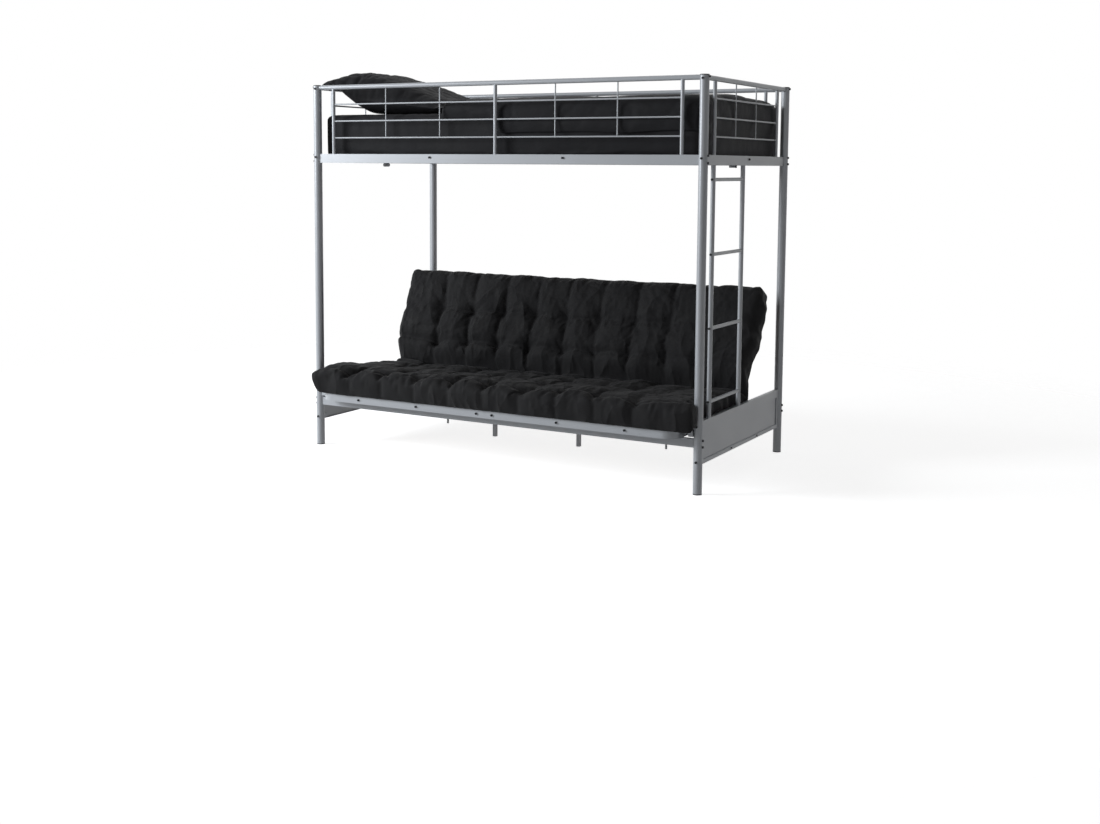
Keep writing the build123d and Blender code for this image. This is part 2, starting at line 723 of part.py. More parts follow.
def seat_bearers():
    """Bearers from front to rear, and beams between them that carry the drop legs."""
    top = seat_rail_top_z - angle_thickness - joint_gap
    bottom = top - bearer_height
    front = seat_front_y + angle_thickness + joint_gap
    rear = seat_rear_rail_y - angle_thickness - joint_gap
    spread = bearer_width / 2
    pieces = []
    for side in (-1, 1):
        x = side * seat_bolt_bearer_x
        bearer = block((x - spread, x + spread), (front, rear), (bottom, top))
        inner = spread - bearer_wall
        bearer -= block((x - inner, x + inner), (front + end_plug_length, rear + cut_overrun),
                        (bottom + bearer_wall, top - bearer_wall))
        bearer = drill(bearer, "y", front, x, pivot_z, thread_hole_d, 2 * end_plug_length + cut_overrun)
        pieces.append(bearer)
    side_limit = seat_half_length - angle_thickness - joint_gap
    beam_span = (seat_bolt_bearer_x + spread + joint_gap, seat_bolt_bearer_x - spread - joint_gap)
    for y in (beam_front_y, beam_rear_y):
        y_span = (y - beam_width / 2, y + beam_width / 2)
        pieces.append(block((-beam_span[1], beam_span[1]), y_span, (bottom, top)))
        for side in (-1, 1):
            pieces.append(block((side * beam_span[0], side * side_limit), y_span, (bottom, top)))
    save("seat_bearers", *pieces)
    leg_top = bottom - joint_gap
    legs = []
    for side in (-1, 1):
        x = side * leg_x
        half = leg_width / 2
        y_span = (beam_front_y - half, beam_front_y + half)
        legs.append(block((x - half, x + half), y_span, (leg_bottom_z, leg_top)))
        foot = (side * rear_leg_x, beam_rear_y, leg_bottom_z)
        legs.append(rod(foot, (side * rear_leg_x, beam_rear_y, leg_top), rear_leg_d))
    save("seat_legs", *legs)


def seat_glides():
    """Plastic discs in the channels, each on a pin through the side rail."""
    glides, pins = [], []
    web = half_x - post_r - joint_gap - channel_wall - glide_clearance
    inner = seat_half_length - angle_thickness - joint_gap
    collar_start = seat_half_length + joint_gap
    collar_end = web - glide_width - joint_gap
    for side in (-1, 1):
        for y in (glide_front_y, glide_rear_y):
            disc = rod((side * (web - glide_width), y, pivot_z), (side * web, y, pivot_z), glide_d)
            bore = glide_pin_d + 2 * fit_clearance
            disc = drill(disc, "x", side * web, y, pivot_z, bore, 2 * glide_width + cut_overrun)
            glides.append(disc)
            head_x = side * (inner - pin_head_h)
            pin = rod((side * inner, y, pivot_z), (side * web, y, pivot_z), glide_pin_d)
            pin += rod((head_x, y, pivot_z), (side * inner, y, pivot_z), pin_head_d)
            pin += rod((side * collar_start, y, pivot_z), (side * collar_end, y, pivot_z), pin_head_d)
            pins.append(pin)
    save("seat_glides", *glides)
    return pins


def seat_bolts():
    """Bolts along the seat's front rail."""
    bolts = []
    for side in (-1, 1):
        for x, grip in ((seat_bolt_centre_x, seat_plate_thickness), (seat_bolt_bearer_x, bolt_grip),
                        (seat_bolt_corner_x, seat_plate_thickness)):
            length = angle_thickness + joint_gap + grip
            bolts.append(bolt((side * x, seat_front_y, pivot_z), (0, 1, 0), length))
    return bolts


def deck_slats(y_span):
    """Evenly spaced slats on the flanges of an angle iron frame."""
    pitch = (2 * slat_reach - slat_width) / (slat_count - 1)
    slats = []
    for i in range(slat_count):
        low = -slat_reach + i * pitch
        slats.append(block((low, low + slat_width), y_span, (seat_rail_top_z, deck_z)))
    return slats


def to_rest(shape):
    """Turn a piece of the back from its flat place up to its leaning place."""
    return shape.rotate(Axis((0, pivot_y, pivot_z), (1, 0, 0)), fold_angle)


def back_rails():
    """The back's own angle iron frame, drawn lying flat and then turned up."""
    half = seat_half_length - angle_thickness - hinge_washer_gap
    top_y = back_start_y + futon_back_length - back_edge_setback
    ear_start = pivot_y - hinge_ear_reach
    flange_start = pivot_y + back_flange_setback
    whole = angle_frame(half, top_y, ear_start, flange_start, back_corner_r)
    bore = hinge_pin_d + 2 * fit_clearance
    for side in (-1, 1):
        whole = drill(whole, "x", side * half, pivot_y, pivot_z, bore, 2 * cut_overrun)
    split_x = half - back_corner_r - angle_flange
    gap = joint_gap / 2
    save("back_top_rail", to_rest(slice_x(whole, (-split_x + gap, split_x - gap))))
    save("back_side_left", to_rest(slice_x(whole, (-post_pitch_x, -split_x - gap))))
    save("back_side_right", to_rest(slice_x(whole, (split_x + gap, post_pitch_x))))
    inner = half - angle_thickness - joint_gap
    flange_clear = inner - angle_flange
    low_y = back_start_y + back_rail_setback
    rail = block((-inner, inner), (low_y, low_y + angle_thickness),
                 (seat_rail_bottom_z, seat_rail_top_z - angle_thickness - joint_gap))
    rail += block((-flange_clear, flange_clear), (low_y, low_y + angle_flange),
                  (seat_rail_top_z - angle_thickness, seat_rail_top_z))
    rail += block((-flange_clear, flange_clear), (low_y, low_y + angle_thickness),
                  (seat_rail_bottom_z, seat_rail_top_z))
    save("back_bottom_rail", to_rest(rail))
    slat_span = (low_y + slat_end_setback, top_y - slat_end_setback)
    save("back_slats", *[to_rest(slat) for slat in deck_slats(slat_span)])


def hinge_pins():
    """Pins that join the back's side rails to the seat's, with a washer between the two plates."""
    outer = seat_half_length + joint_gap
    inner = seat_half_length - angle_thickness - hinge_washer_gap - angle_thickness - joint_gap
    washer_out = seat_half_length - angle_thickness - joint_gap
    washer_in = seat_half_length - angle_thickness - hinge_washer_gap + joint_gap
    steps = ((inner - hinge_head_h, inner, hinge_head_d), (inner, outer, hinge_pin_d),
             (washer_in, washer_out, hinge_washer_d), (outer, outer + hinge_head_h, hinge_head_d))
    pins = []
    for side in (-1, 1):
        pin = Part()
        for low, high, diameter in steps:
            pin += rod((side * low, pivot_y, pivot_z), (side * high, pivot_y, pivot_z), diameter)
        pins.append(pin)
    save("hinge_pins", *pins)


def puffed_section(x, place, length, rows, shares, swell, height, draw):
    """One slice of a tufted mattress: a mitred end at the fold, a row of puffs and a round nose."""
    ridge = height * (futon_tuft + (futon_ridge - futon_tuft) * swell)
    crown = height * (futon_ridge + (futon_crown - futon_ridge) * swell)
    fold_top = height * (futon_fold_height + (futon_ridge - futon_tuft) * swell / 2)
    nose_start = length - draw - futon_nose
    nose_top = ridge * shares[-1]
    tops = [(fold_top * half_fold_tan, fold_top)]
    tops += [(row, ridge * share) for row, share in zip(rows, shares)]
    tops.append((nose_start, nose_top))
    middles = [0, *[(low + high) / 2 for low, high in zip(shares, shares[1:])], shares[-1]]
    points = [place(x, along, up) for along, up in tops]
    start = place(x, 0, 0)
    edges = [Line(start, points[0])]
    for i, (first, last) in enumerate(zip(tops, tops[1:])):
        level = crown * middles[i] if i else (first[1] + last[1]) / 2 + futon_fold_swell
        middle = place(x, (first[0] + last[0]) / 2, level)
        edges.append(ThreePointArc(points[i], middle, points[i + 1]))
    end = place(x, nose_start, 0)
    edges.append(ThreePointArc(points[-1], place(x, nose_start + futon_nose, nose_top / 2), end))
    edges.append(Line(end, start))
    return Wire([edge.edge() for edge in edges])


def puffed_mattress(place, length, rows, shares):
    """A mattress lofted through slices, narrow at each line of tufts and full between them."""
    middle_column = (tuft_columns - 1) / 2
    columns = [(i - middle_column) * tuft_pitch_x for i in range(tuft_columns)]
    slices = []
    for column in columns[:-1]:
        for share, swell in zip(bay_place_shares, bay_swell_shares):
            slices.append((column + share * tuft_pitch_x, swell, 1, 0))
    slices.append((columns[-1], 0, 1, 0))
    end_bay = futon_half_length - columns[-1]
    ends = []
    end_slices = zip(end_place_shares, end_swell_shares, end_height_shares, end_draw_shares)
    for share, swell, height, draw in end_slices:
        ends.append((columns[-1] + share * end_bay, swell, height, draw * futon_end_draw))
    left = [(-x, swell, height, draw) for x, swell, height, draw in reversed(ends)]
    wires = [puffed_section(x, place, length, rows, shares, swell, height, draw)
             for x, swell, height, draw in left + slices + ends]
    return Solid.make_loft(wires, ruled=True)


def futon():
    """The sofa's mattress: the seat part and the back part meet in a mitre at the fold."""
    seat_rows = [share * futon_seat_length for share in seat_row_shares]
    back_rows = [share * futon_back_length for share in back_row_shares]

    def on_seat(x, along, up):
        return (x, fold_y - along, futon_bottom_z + up)

    def on_back(x, along, up):
        return (x, back_start_y + along, futon_bottom_z + up)

    save("futon_seat", puffed_mattress(on_seat, futon_seat_length, seat_rows, seat_height_shares))
    save("futon_back", to_rest(puffed_mattress(on_back, futon_back_length, back_rows, back_height_shares)))


def duvet():
    """A duvet crowned over the upper mattress, hanging over its long sides and its foot end."""
    left = pillow_end_x + pillow_end_bulge + soft_gap
    right = half_x - duvet_end_gap
    half = half_y - duvet_side_gap
    hem = mattress_top_z - duvet_drop
    wires = []
    for share, height in zip(duvet_section_shares, duvet_height_shares):
        x = left + share * (right - left)
        shoulder = mattress_top_z + duvet_side * height
        top = mattress_top_z + duvet_crown * height
        corners = [(x, half, shoulder), (x, half, hem), (x, -half, hem), (x, -half, shoulder)]
        edges = [Line(first, last) for first, last in zip(corners, corners[1:])]
        edges.append(ThreePointArc(corners[-1], (x, 0, top), corners[0]))
        wires.append(Wire([piece.edge() for piece in edges]))
    plan = block((left, right), (-half, half), (hem, mattress_top_z + 2 * duvet_crown))
    plan = fillet(plan.edges().filter_by(Axis.Z).group_by(Axis.X)[-1], duvet_round)
    pocket_x = half_x - upper_mattress_end_gap + soft_gap
    pocket_y = half_y - upper_mattress_side_gap + soft_gap
    pocket_z = (hem - cut_overrun, mattress_top_z + soft_gap)
    pocket = block((left - cut_overrun, pocket_x), (-pocket_y, pocket_y), pocket_z)
    return (Solid.make_loft(wires, ruled=True) & plan) - pocket


def pillow_section(y, height):
    """One slice of the pillow: thin over the guard's tube, full at its peak, flat on the mattress."""
    bottom = mattress_top_z + soft_gap
    saddle_z = guard_tube_z + guard_tube_d / 2 + soft_gap
    end_z = bottom + pillow_end_rise / 2
    end_low = end_z - pillow_end_rise * height / 2
    end_high = end_z + pillow_end_rise * height / 2
    foot = (pillow_foot_reach - half_x, y, end_low)
    knee = (pillow_knee_reach - half_x, y, bottom + pillow_knee_rise)
    saddle = (pillow_saddle_reach - half_x, y, saddle_z)
    tip = (-half_x - pillow_overhang, y, saddle_z)
    tip_high = (tip[0], y, saddle_z + pillow_tip_thickness)
    peak = (pillow_peak_reach - half_x, y, saddle_z + (bottom + pillow_rise - saddle_z) * height)
    rising = ((tip[0] + peak[0]) / 2, y, tip_high[2] + (peak[2] - tip_high[2]) * pillow_rising_share)
    falling = ((peak[0] + pillow_end_x) / 2, y, end_high + (peak[2] - end_high) * pillow_falling_share)
    end_top = (pillow_end_x, y, end_high)
    end_foot = (pillow_end_x, y, end_low)
    corners = [end_foot, foot, knee, saddle, tip, tip_high]
    edges = [Line(first, last) for first, last in zip(corners, corners[1:])]
    edges.append(ThreePointArc(tip_high, rising, peak))
    edges.append(ThreePointArc(peak, falling, end_top))
    edges.append(ThreePointArc(end_top, (pillow_end_x + pillow_end_bulge, y, end_z), end_foot))
    return Wire([piece.edge() for piece in edges])


def pillow():
    """A pillow propped up at its left end on the guard's top tube."""
    front = pillow_side_gap - half_y
    places = [front + share * pillow_width for share in pillow_section_shares]
    wires = [pillow_section(y, height) for y, height in zip(places, pillow_height_shares)]
    return Solid.make_loft(wires, ruled=True)


def bedding():
    """The upper mattress, the duvet and the pillow."""
    half_l = half_x - upper_mattress_end_gap
    half_w = half_y - upper_mattress_side_gap
    mattress = block((-half_l, half_l), (-half_w, half_w), (mattress_bottom_z, mattress_top_z))
    save("upper_mattress", fillet(mattress.edges().filter_by(Axis.Z), upper_mattress_round))
    save("upper_duvet", duvet())
    save("pillow", pillow())


posts()
guards()
upper_rails()
upper_slats()
short_bars()
ladder()
end_panels()
stretchers()
guide_channels()
save("frame_bolts", *frame_bolts(), *panel_screws())
seat_rails()
seat_plates()
save("seat_rear_rail", seat_rear_rail())
seat_bearers()
glide_pins = seat_glides()
save("seat_bolts", *seat_bolts(), *glide_pins)
save("seat_slats", *deck_slats((seat_front_y + slat_end_setback, seat_rear_rail_y - angle_thickness)))
back_rails()
hinge_pins()
futon()
bedding()
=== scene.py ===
import json
import math

import bmesh
import bpy
import numpy as np
from mathutils import Matrix, Vector


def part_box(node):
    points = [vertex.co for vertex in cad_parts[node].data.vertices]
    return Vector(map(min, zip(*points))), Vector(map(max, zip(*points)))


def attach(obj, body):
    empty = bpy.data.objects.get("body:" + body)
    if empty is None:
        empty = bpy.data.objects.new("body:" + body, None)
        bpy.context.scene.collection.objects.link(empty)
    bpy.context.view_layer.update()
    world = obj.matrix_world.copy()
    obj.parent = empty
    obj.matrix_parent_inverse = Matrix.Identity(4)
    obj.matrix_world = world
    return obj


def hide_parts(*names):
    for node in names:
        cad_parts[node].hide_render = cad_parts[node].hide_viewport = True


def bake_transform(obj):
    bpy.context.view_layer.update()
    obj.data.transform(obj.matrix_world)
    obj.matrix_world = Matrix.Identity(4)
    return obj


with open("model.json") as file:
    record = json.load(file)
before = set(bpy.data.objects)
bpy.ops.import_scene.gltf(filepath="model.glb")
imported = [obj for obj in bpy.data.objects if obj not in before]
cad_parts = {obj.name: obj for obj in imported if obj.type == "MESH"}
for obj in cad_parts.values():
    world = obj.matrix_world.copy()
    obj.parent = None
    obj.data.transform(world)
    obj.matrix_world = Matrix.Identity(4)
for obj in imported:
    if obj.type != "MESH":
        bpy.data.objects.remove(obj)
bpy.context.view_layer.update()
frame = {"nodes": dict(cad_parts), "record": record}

# Camera at the photograph's viewing angle
CAMERA_PLACE = (3.0639, -5.4395, 1.3409)
CAMERA_YAW = 29.097
CAMERA_PITCH = -5.730
CAMERA_ROLL = 0.404
CAMERA_LENS = 43.63
CAMERA_SENSOR = 36.0
CAMERA_SHIFT_Y = -0.1018

# Lamps: place, point aimed at, side, power and colour
LAMPS = {
    "key": ((-4.6, -3.6, 2.5), (0, 0, 0.9), 2.2, 305, (0.935, 0.968, 1.0)),
    "fill": ((2.2, -5.6, 1.6), (0, 0, 0.8), 2.4, 3, (1, 1, 1)),
    "top": ((-0.6, 0.4, 4.8), (0, 0, 0.6), 2.6, 9, (1, 1, 1)),
}

# World and floor
WHITE = (1, 1, 1, 1)
WORLD_LIGHT = 0.055
WORLD_WHITE = 1.0
FLOOR_REACH = 4.5
FLOOR_TONE = 0.86
FLOOR_BOUNCE = 0.40
FLOOR_GLOW = 0.83
FLOOR_SPECULAR = 0.2
FLOOR_ROUGHNESS = 0.9
FLOOR_FADE = (0.24, 0.24, 0.24)
FLOOR_COVERED = 0.5

# The folded futon, measured along its underside from the front edge to the top of the back
SEAT_HALF = 0.955
BACK_HALF = 0.968
FUTON_SEAT = 0.760
FUTON_BACK = 0.540
FUTON_LENGTH = FUTON_SEAT + FUTON_BACK
FUTON_NOSE = 0.050
FUTON_THINNEST = 0.022
FOLD_Y = 0.2065
FOLD_Z = 0.2783
FOLD_ANGLE = 66.0
FOLD_SQUEEZE = 0.25
SEAT_FADE = 0.10

# Its grid: step, distances of the outer lines from the ends, and how it closes up toward front and top
FUTON_STEP = 0.010
RIM_PLACES = (0.0, 0.0015, 0.004, 0.008, 0.014, 0.022)
GRID_EASE = 0.35

# Lines of tufts and how deep they draw the cloth
TUFT_PITCH = 0.1825
TUFT_COLUMNS = 9
SEAT_ROWS = (0.082, 0.282, 0.482, 0.682)
BACK_ROWS = (0.118, 0.318)
SEAT_ROW_DEPTHS = (0.010, 0.012, 0.016, 0.026)
BACK_ROW_DEPTHS = (0.032, 0.014)
ROW_POWER = 1.5
EDGE_LINE = 0.02
FOLD_DEPTH = 0.046
TUFT_DEPTH = 0.018
TUFT_RADIUS = 0.030
TUFT_POWER = 1.3
CELL_SPREAD = 0.006
PUFF_POWER = 2.4

# Thickness of the puffs and depth of the channels between them, by distance from the front edge
CROWN_PLACES = (0.0, 0.078, 0.278, 0.478, 0.678, 0.760, 0.820, 0.878, 1.000, 1.300)
CROWNS = (0.110, 0.113, 0.092, 0.074, 0.064, 0.068, 0.106, 0.120, 0.121, 0.119)
CHANNEL_PLACES = (0.0, 0.100, 0.200, 0.740, 0.800, 0.900, 1.100, 1.300)
CHANNELS = (0.037, 0.029, 0.015, 0.013, 0.025, 0.028, 0.026, 0.020)

# Relief lost toward the right-hand end, from where and over which length
CALM_SHARE = 0.48
CALM_START = -0.4
CALM_LENGTH = 1.0

# Folds that run out from the tufts
RAY_DEPTH = 0.0100
RAY_TURN = 1.7
RAY_COUNTS = (2.5, 4.5)
RAY_SECOND = 0.4
RAY_WIDTH = 1.6
RAY_REACH = 0.055
RAY_START = 0.02

# Wandering of the lines of tufts: shift everywhere, more shift on the seat, then size and seed of the waves
COLUMN_DRIFT = 0.004
COLUMN_SEAT_DRIFT = 0.010
COLUMN_WAVES = (0.42, 3)
COLUMN_RIPPLE = 0.003
COLUMN_RIPPLES = (0.16, 4)
ROW_DRIFT = 0.006
ROW_SEAT_DRIFT = 0.014
ROW_WAVES = (0.5, 5)

# Waves and creases of the cloth: height, then size, seed and stretch
SEAT_SWELL = 0.004
SEAT_SWELLS = (0.33, 14)
LONG_CREASE = 0.0045
LONG_CREASES = (0.085, 11, 2.2)
SHORT_CREASE = 0.0024
SHORT_CREASES = (0.040, 12, 1.8)
LUMP = 0.0025
LUMPS = (0.20, 13)
FINE_CREASE = 0.0011
FINE_CREASES = (0.030, 31, 1.5)
FINE_ABOVE = 0.05

# Rim of the futon: irregular edge, drawn-in corner at the top right, and scalloped front
RIM_WAVE = 0.010
RIM_WAVES = (0.28, 21)
RIM_RIPPLE = 0.004
RIM_RIPPLES = (0.07, 22)
RIM_DRAW = 0.003
RIM_POWER = 12
RIM_SEAM = 0.004
END_POWER = 16
TOP_CORNER = 0.10
TOP_CORNER_DRAW = 0.045
SCALLOP = 0.016
SCALLOP_REACH = 0.06
BACK_WIDENING = 0.25

# The futon is longer where no frame is beside it: before the front posts, and past the ladder on the back
BEFORE_POSTS = 0.088
BEFORE_POSTS_FADE = 0.02
BEFORE_POSTS_CALM = 0.8
FRONT_RIGHT_REACH = 0.042
FRONT_LEFT_DRAW = 0.010
BACK_REACH = 0.021
BACK_REACH_FADE = 0.07
PAST_LADDER = 0.17
PAST_FOLD = 0.03

# Height of the edge seam as a share of the thickness, and how the front corners differ
SEAM_PLACES = (0.0, 0.10, 0.25, 1.3)
SEAMS = (0.60, 0.52, 0.32, 0.42)
CORNER_SEAM = 0.88
CORNER_NOSE = 0.055
CORNER_SQUARE = 0.036
CORNER_UNDER_SHARE = 0.6
CORNER_SIDE = (0.80, 0.10)
CORNER_FRONT = (0.22, 0.10)
UNDER_ROUND_PLACES = (0.85, 1.0)
UNDER_ROUNDS = (0.036, 0.10)
UNDER_SIDE = 0.001
UNDER_END = 0.002
UNDER_END_ROUND = 0.028

# Front edge that hangs over the rail, and the least thickness and lift of the cloth there
FUTON_HANG = 0.014
HANG_START = 0.046
HANG_FADE = 0.034
SKIN = 0.002
LIFT = 0.0005

# Points held in the futon's simulation: from the side inwards, at the fold and at each tuft
HELD_SIDE = 0.05
HELD_FOLD = 0.007
HELD_TUFT = 0.009

# Cloth simulations: furthest move, frames, growth and pressure
SIMULATIONS = {
    "futon": (0.010, 14, 0.05, 4.0),
    "duvet": (0.004, 12, 0.04, 1.0),
    "pillow": (0.007, 12, 0.04, 2.0),
}
CLOTH_QUALITY = 5
CLOTH_MASS = 0.3
CLOTH_BENDING = 0.3
TINY = 1e-9

# Waves and creases in general
WAVE_PITCHES = (0.7, 1.5)
CREASE_BEND = 0.35
CREASE_BEND_SIZE = 2.2
CREASE_BEND_SEED = 50
CREASE_SHARPNESS = 2.2
CREASE_POWER = 0.6
EDGE_POWER = 2.2

# Upper mattress
MATTRESS_MARGIN = 0.002
MATTRESS_REACH = 0.008
MATTRESS_ROUND = 0.014
MATTRESS_RINGS = 150
MATTRESS_TURNS = 120
MATTRESS_END = 0.9
MATTRESS_END_PLACE = 0.988
MATTRESS_END_SINK = 0.6
MATTRESS_CORNER_POWER = 0.16
MATTRESS_SIDE = 0.93
MATTRESS_TOP = 0.9
SHEET_PULL = 0.0030
SHEET_PULLS = (0.14, 41, 0.6)
SHEET_PULL_STEEPNESS = 2.0
SHEET_WAVE = 0.0022
SHEET_WAVES = (0.30, 42)
SHEET_WAVE_STEEPNESS = 3
SHEET_TOP_CREASE = 0.0030
SHEET_TOP_CREASES = (0.16, 43)

# Duvet
DUVET_STEP = 0.013
DUVET_ROUND = 0.045
DUVET_RISE = 0.046
DUVET_SIDE_MARGIN = 0.003
DUVET_FOOT_MARGIN = 0.002
DUVET_HEAD_MARGIN = 0.001
DUVET_CROWN = 0.030
DUVET_CROWN_POWER = 0.8
DUVET_CROWN_FADE = 0.10
DUVET_CROWN_LEAST = 0.25
DUVET_SWELL = 0.004
DUVET_SWELLS = (0.5, 51)
DUVET_GAP = 0.0015
DUVET_UNDER_ROUND = 0.012
DUVET_RIM = 0.022
DUVET_SEAM = 0.45
HEM_PLACE = 0.9
HEM_WAVE = 0.010
HEM_WAVES = (0.35, 54, 4)
HEM_SIDES = 3.0
HEM_LIFT = 0.062
HEM_LIFT_REACH = 0.30
HEM_LIFT_FADE = 0.03
DUVET_FOLD = 0.0050
DUVET_FOLDS = (0.24, 52, 1.6)
DUVET_CREASE = 0.0028
DUVET_CREASES = (0.10, 53)
DUVET_UPRIGHT_SHARE = 0.7

# Pillow: heights over the mattress along its length, from the end on the guard to the foot
PILLOW_STEP = 0.010
PILLOW_SHIFT = 0.020
PILLOW_PLACES = (0.0, 0.03, 0.09, 0.17, 0.25, 0.33, 0.60, 0.80, 0.93, 1.0)
PILLOW_TOP = (0.156, 0.173, 0.185, 0.193, 0.196, 0.187, 0.137, 0.085, 0.055, 0.030)
PILLOW_UNDER = (0.1325, 0.1322, 0.1305, 0.074, 0.030, 0.004, 0.002, 0.002, 0.004, 0.020)
PILLOW_WAIST = 0.035
PILLOW_END_DRAW = 0.018
PILLOW_SEAM = 0.35
PILLOW_SIDE_ROUND = 0.55
PILLOW_FOLD = 0.0065
PILLOW_FOLDS = (0.11, 61, 0.7)
PILLOW_CREASE_PLACES = (0.35, 0.6)
PILLOW_CREASE_DEPTHS = (0.0080, 0.0025)
PILLOW_CREASES = (0.055, 62, 1.6)
PILLOW_MARGIN = 0.002
PILLOW_SKIN = 0.003

# Textures: middle range of a noise, crossed threads, and wrinkles
TEXTURE_RANGE = (0.3, 0.7)
THREAD_DISTORTION = 0.6
THREAD_DETAIL = 3.0
WRINKLE_DETAIL = 2.0
WRINKLE_OFFSET = 1.0

# Silver paint. Pairs with a noise are its scale and detail, and a relief is its strength and distance
PAINT_METALLIC = 0.10
PAINT_FLAKE = (900.0, 2.0)
PAINT_TONES = ((0.3, (0.44, 0.46, 0.49)), (0.7, (0.54, 0.56, 0.59)))
PAINT_CLOUDS = 7.0
PAINT_ROUGHNESS = (0.33, 0.42)
PAINT_PEEL = 160.0
PAINT_PEEL_RELIEF = (0.05, 0.001)
PAINT_FLAKE_RELIEF = (0.03, 0.0005)

# Black oxide on screws
OXIDE_METALLIC = 0.85
OXIDE_RUBBED = 240.0
OXIDE_TONES = ((0.45, (0.018, 0.018, 0.02)), (0.75, (0.075, 0.075, 0.08)))
OXIDE_ROUGHNESS = (0.30, 0.48)
OXIDE_RELIEF = (0.1, 0.0005)

# Black plastic
PLASTIC_SPECULAR = 0.4
PLASTIC_GRAIN = (700.0, 2.0)
PLASTIC_CLOUDS = 30.0
PLASTIC_TONES = ((0.35, (0.016, 0.016, 0.018)), (0.7, (0.028, 0.028, 0.03)))
PLASTIC_ROUGHNESS = (0.48, 0.62)
PLASTIC_RELIEF = (0.25, 0.0005)

# Bare wood: size of the grain across, along and through a board
WOOD_GRAIN = (0.033, 0.67, 0.033)
WOOD_SPECULAR = 0.35
WOOD_NOISE = (4.0, 6.0)
WOOD_TONES = ((0.3, (0.36, 0.21, 0.105)), (0.5, (0.52, 0.34, 0.19)), (0.72, (0.62, 0.44, 0.27)))
WOOD_ROUGHNESS = (0.45, 0.6)
WOOD_RELIEF = (0.15, 0.001)

# Black cotton of the futon. Threads are their scale, strength and distance
COTTON_SPECULAR = 0.16
COTTON_SHEEN = 0.03
COTTON_SHEEN_ROUGHNESS = 0.5
COTTON_DUST = (14.0, 5.0)
COTTON_TONES = ((0.3, (0.0103, 0.0102, 0.0108)), (0.7, (0.0160, 0.0158, 0.0170)))
COTTON_ROUGHNESS = (0.72, 0.86)
COTTON_WRINKLES = 9.0
COTTON_WRINKLE_STRETCH = (1.0, 0.55, 0.55)
COTTON_WRINKLE_RELIEF = (0.6, 0.012)
COTTON_CRUMPLE = (42.0, 4.0)
COTTON_CRUMPLE_RELIEF = (0.15, 0.003)
COTTON_THREADS = (260.0, 0.12, 0.0006)

# Black bed linen
LINEN_SPECULAR = 0.10
LINEN_SHEEN = 0.01
LINEN_SHEEN_ROUGHNESS = 0.4
LINEN_CLOUDS = (9.0, 4.0)
LINEN_TONES = ((0.3, (0.0112, 0.0112, 0.0126)), (0.7, (0.0190, 0.0190, 0.0212)))
LINEN_ROUGHNESS = (0.60, 0.72)
LINEN_FOLD_STRETCH = (1.0, 1.6, 1.6)
LINEN_FOLDS = (7.0, 4.0)
LINEN_FOLD_RELIEF = (0.5, 0.012)
LINEN_THREADS = (420.0, 0.06, 0.0004)

rng = np.random.RandomState(7)


def waves(u, v, size, seed, count=7):
    """Smooth random relief of about -1 to 1, from crossed sine waves of one size."""
    state = np.random.RandomState(seed)
    total = np.zeros_like(u)
    for _ in range(count):
        angle = state.uniform(0, math.pi)
        pitch = size * state.uniform(*WAVE_PITCHES)
        phase = state.uniform(0, 2 * math.pi)
        total += np.sin((u * math.cos(angle) + v * math.sin(angle)) * 2 * math.pi / pitch + phase)
    return total / math.sqrt(count)


def creases(u, v, size, seed, stretch=1.0):
    """Narrow folds with soft banks between them, drawn out along v by the stretch."""
    bend = waves(u, v / stretch, size * CREASE_BEND_SIZE, seed + CREASE_BEND_SEED) * size * CREASE_BEND
    field = waves(u + bend, v / stretch, size, seed)
    return 1 - np.minimum(np.abs(field) * CREASE_SHARPNESS, 1) ** CREASE_POWER


def grid_shell(name, top, bottom):
    """A closed mesh from two grids of points of the same size, joined round their edges."""
    rows, columns = top.shape[:2]
    count = rows * columns
    index = np.arange(count).reshape(rows, columns)
    quads = np.stack([index[:-1, :-1], index[1:, :-1], index[1:, 1:], index[:-1, 1:]], -1).reshape(-1, 4)
    ring = np.concatenate([index[0, :-1], index[:-1, -1], index[-1, :0:-1], index[:0:-1, 0]])
    following = np.roll(ring, -1)
    sides = np.stack([ring, following, following + count, ring + count], -1)
    faces = np.concatenate([quads, quads[:, ::-1] + count, sides])
    points = np.concatenate([top.reshape(-1, 3), bottom.reshape(-1, 3)])
    obj = mesh_object(name, points.tolist(), faces.tolist())
    face_outward(obj.data)
    return obj


def mesh_object(name, points, faces):
    """A linked object from lists of points and faces."""
    mesh = bpy.data.meshes.new(name)
    mesh.from_pydata(points, [], faces)
    obj = bpy.data.objects.new(name, mesh)
    bpy.context.scene.collection.objects.link(obj)
    return obj


def face_outward(mesh):
    """Turns every face of a closed mesh outward."""
    work = bmesh.new()
    work.from_mesh(mesh)
    bmesh.ops.recalc_face_normals(work, faces=work.faces)
    work.to_mesh(mesh)
    work.free()


def read_points(mesh):
    points = np.empty(len(mesh.vertices) * 3)
    mesh.vertices.foreach_get("co", points)
    return points.reshape(-1, 3)


def write_points(mesh, points):
    mesh.vertices.foreach_set("co", np.ascontiguousarray(points).ravel())
    mesh.update()


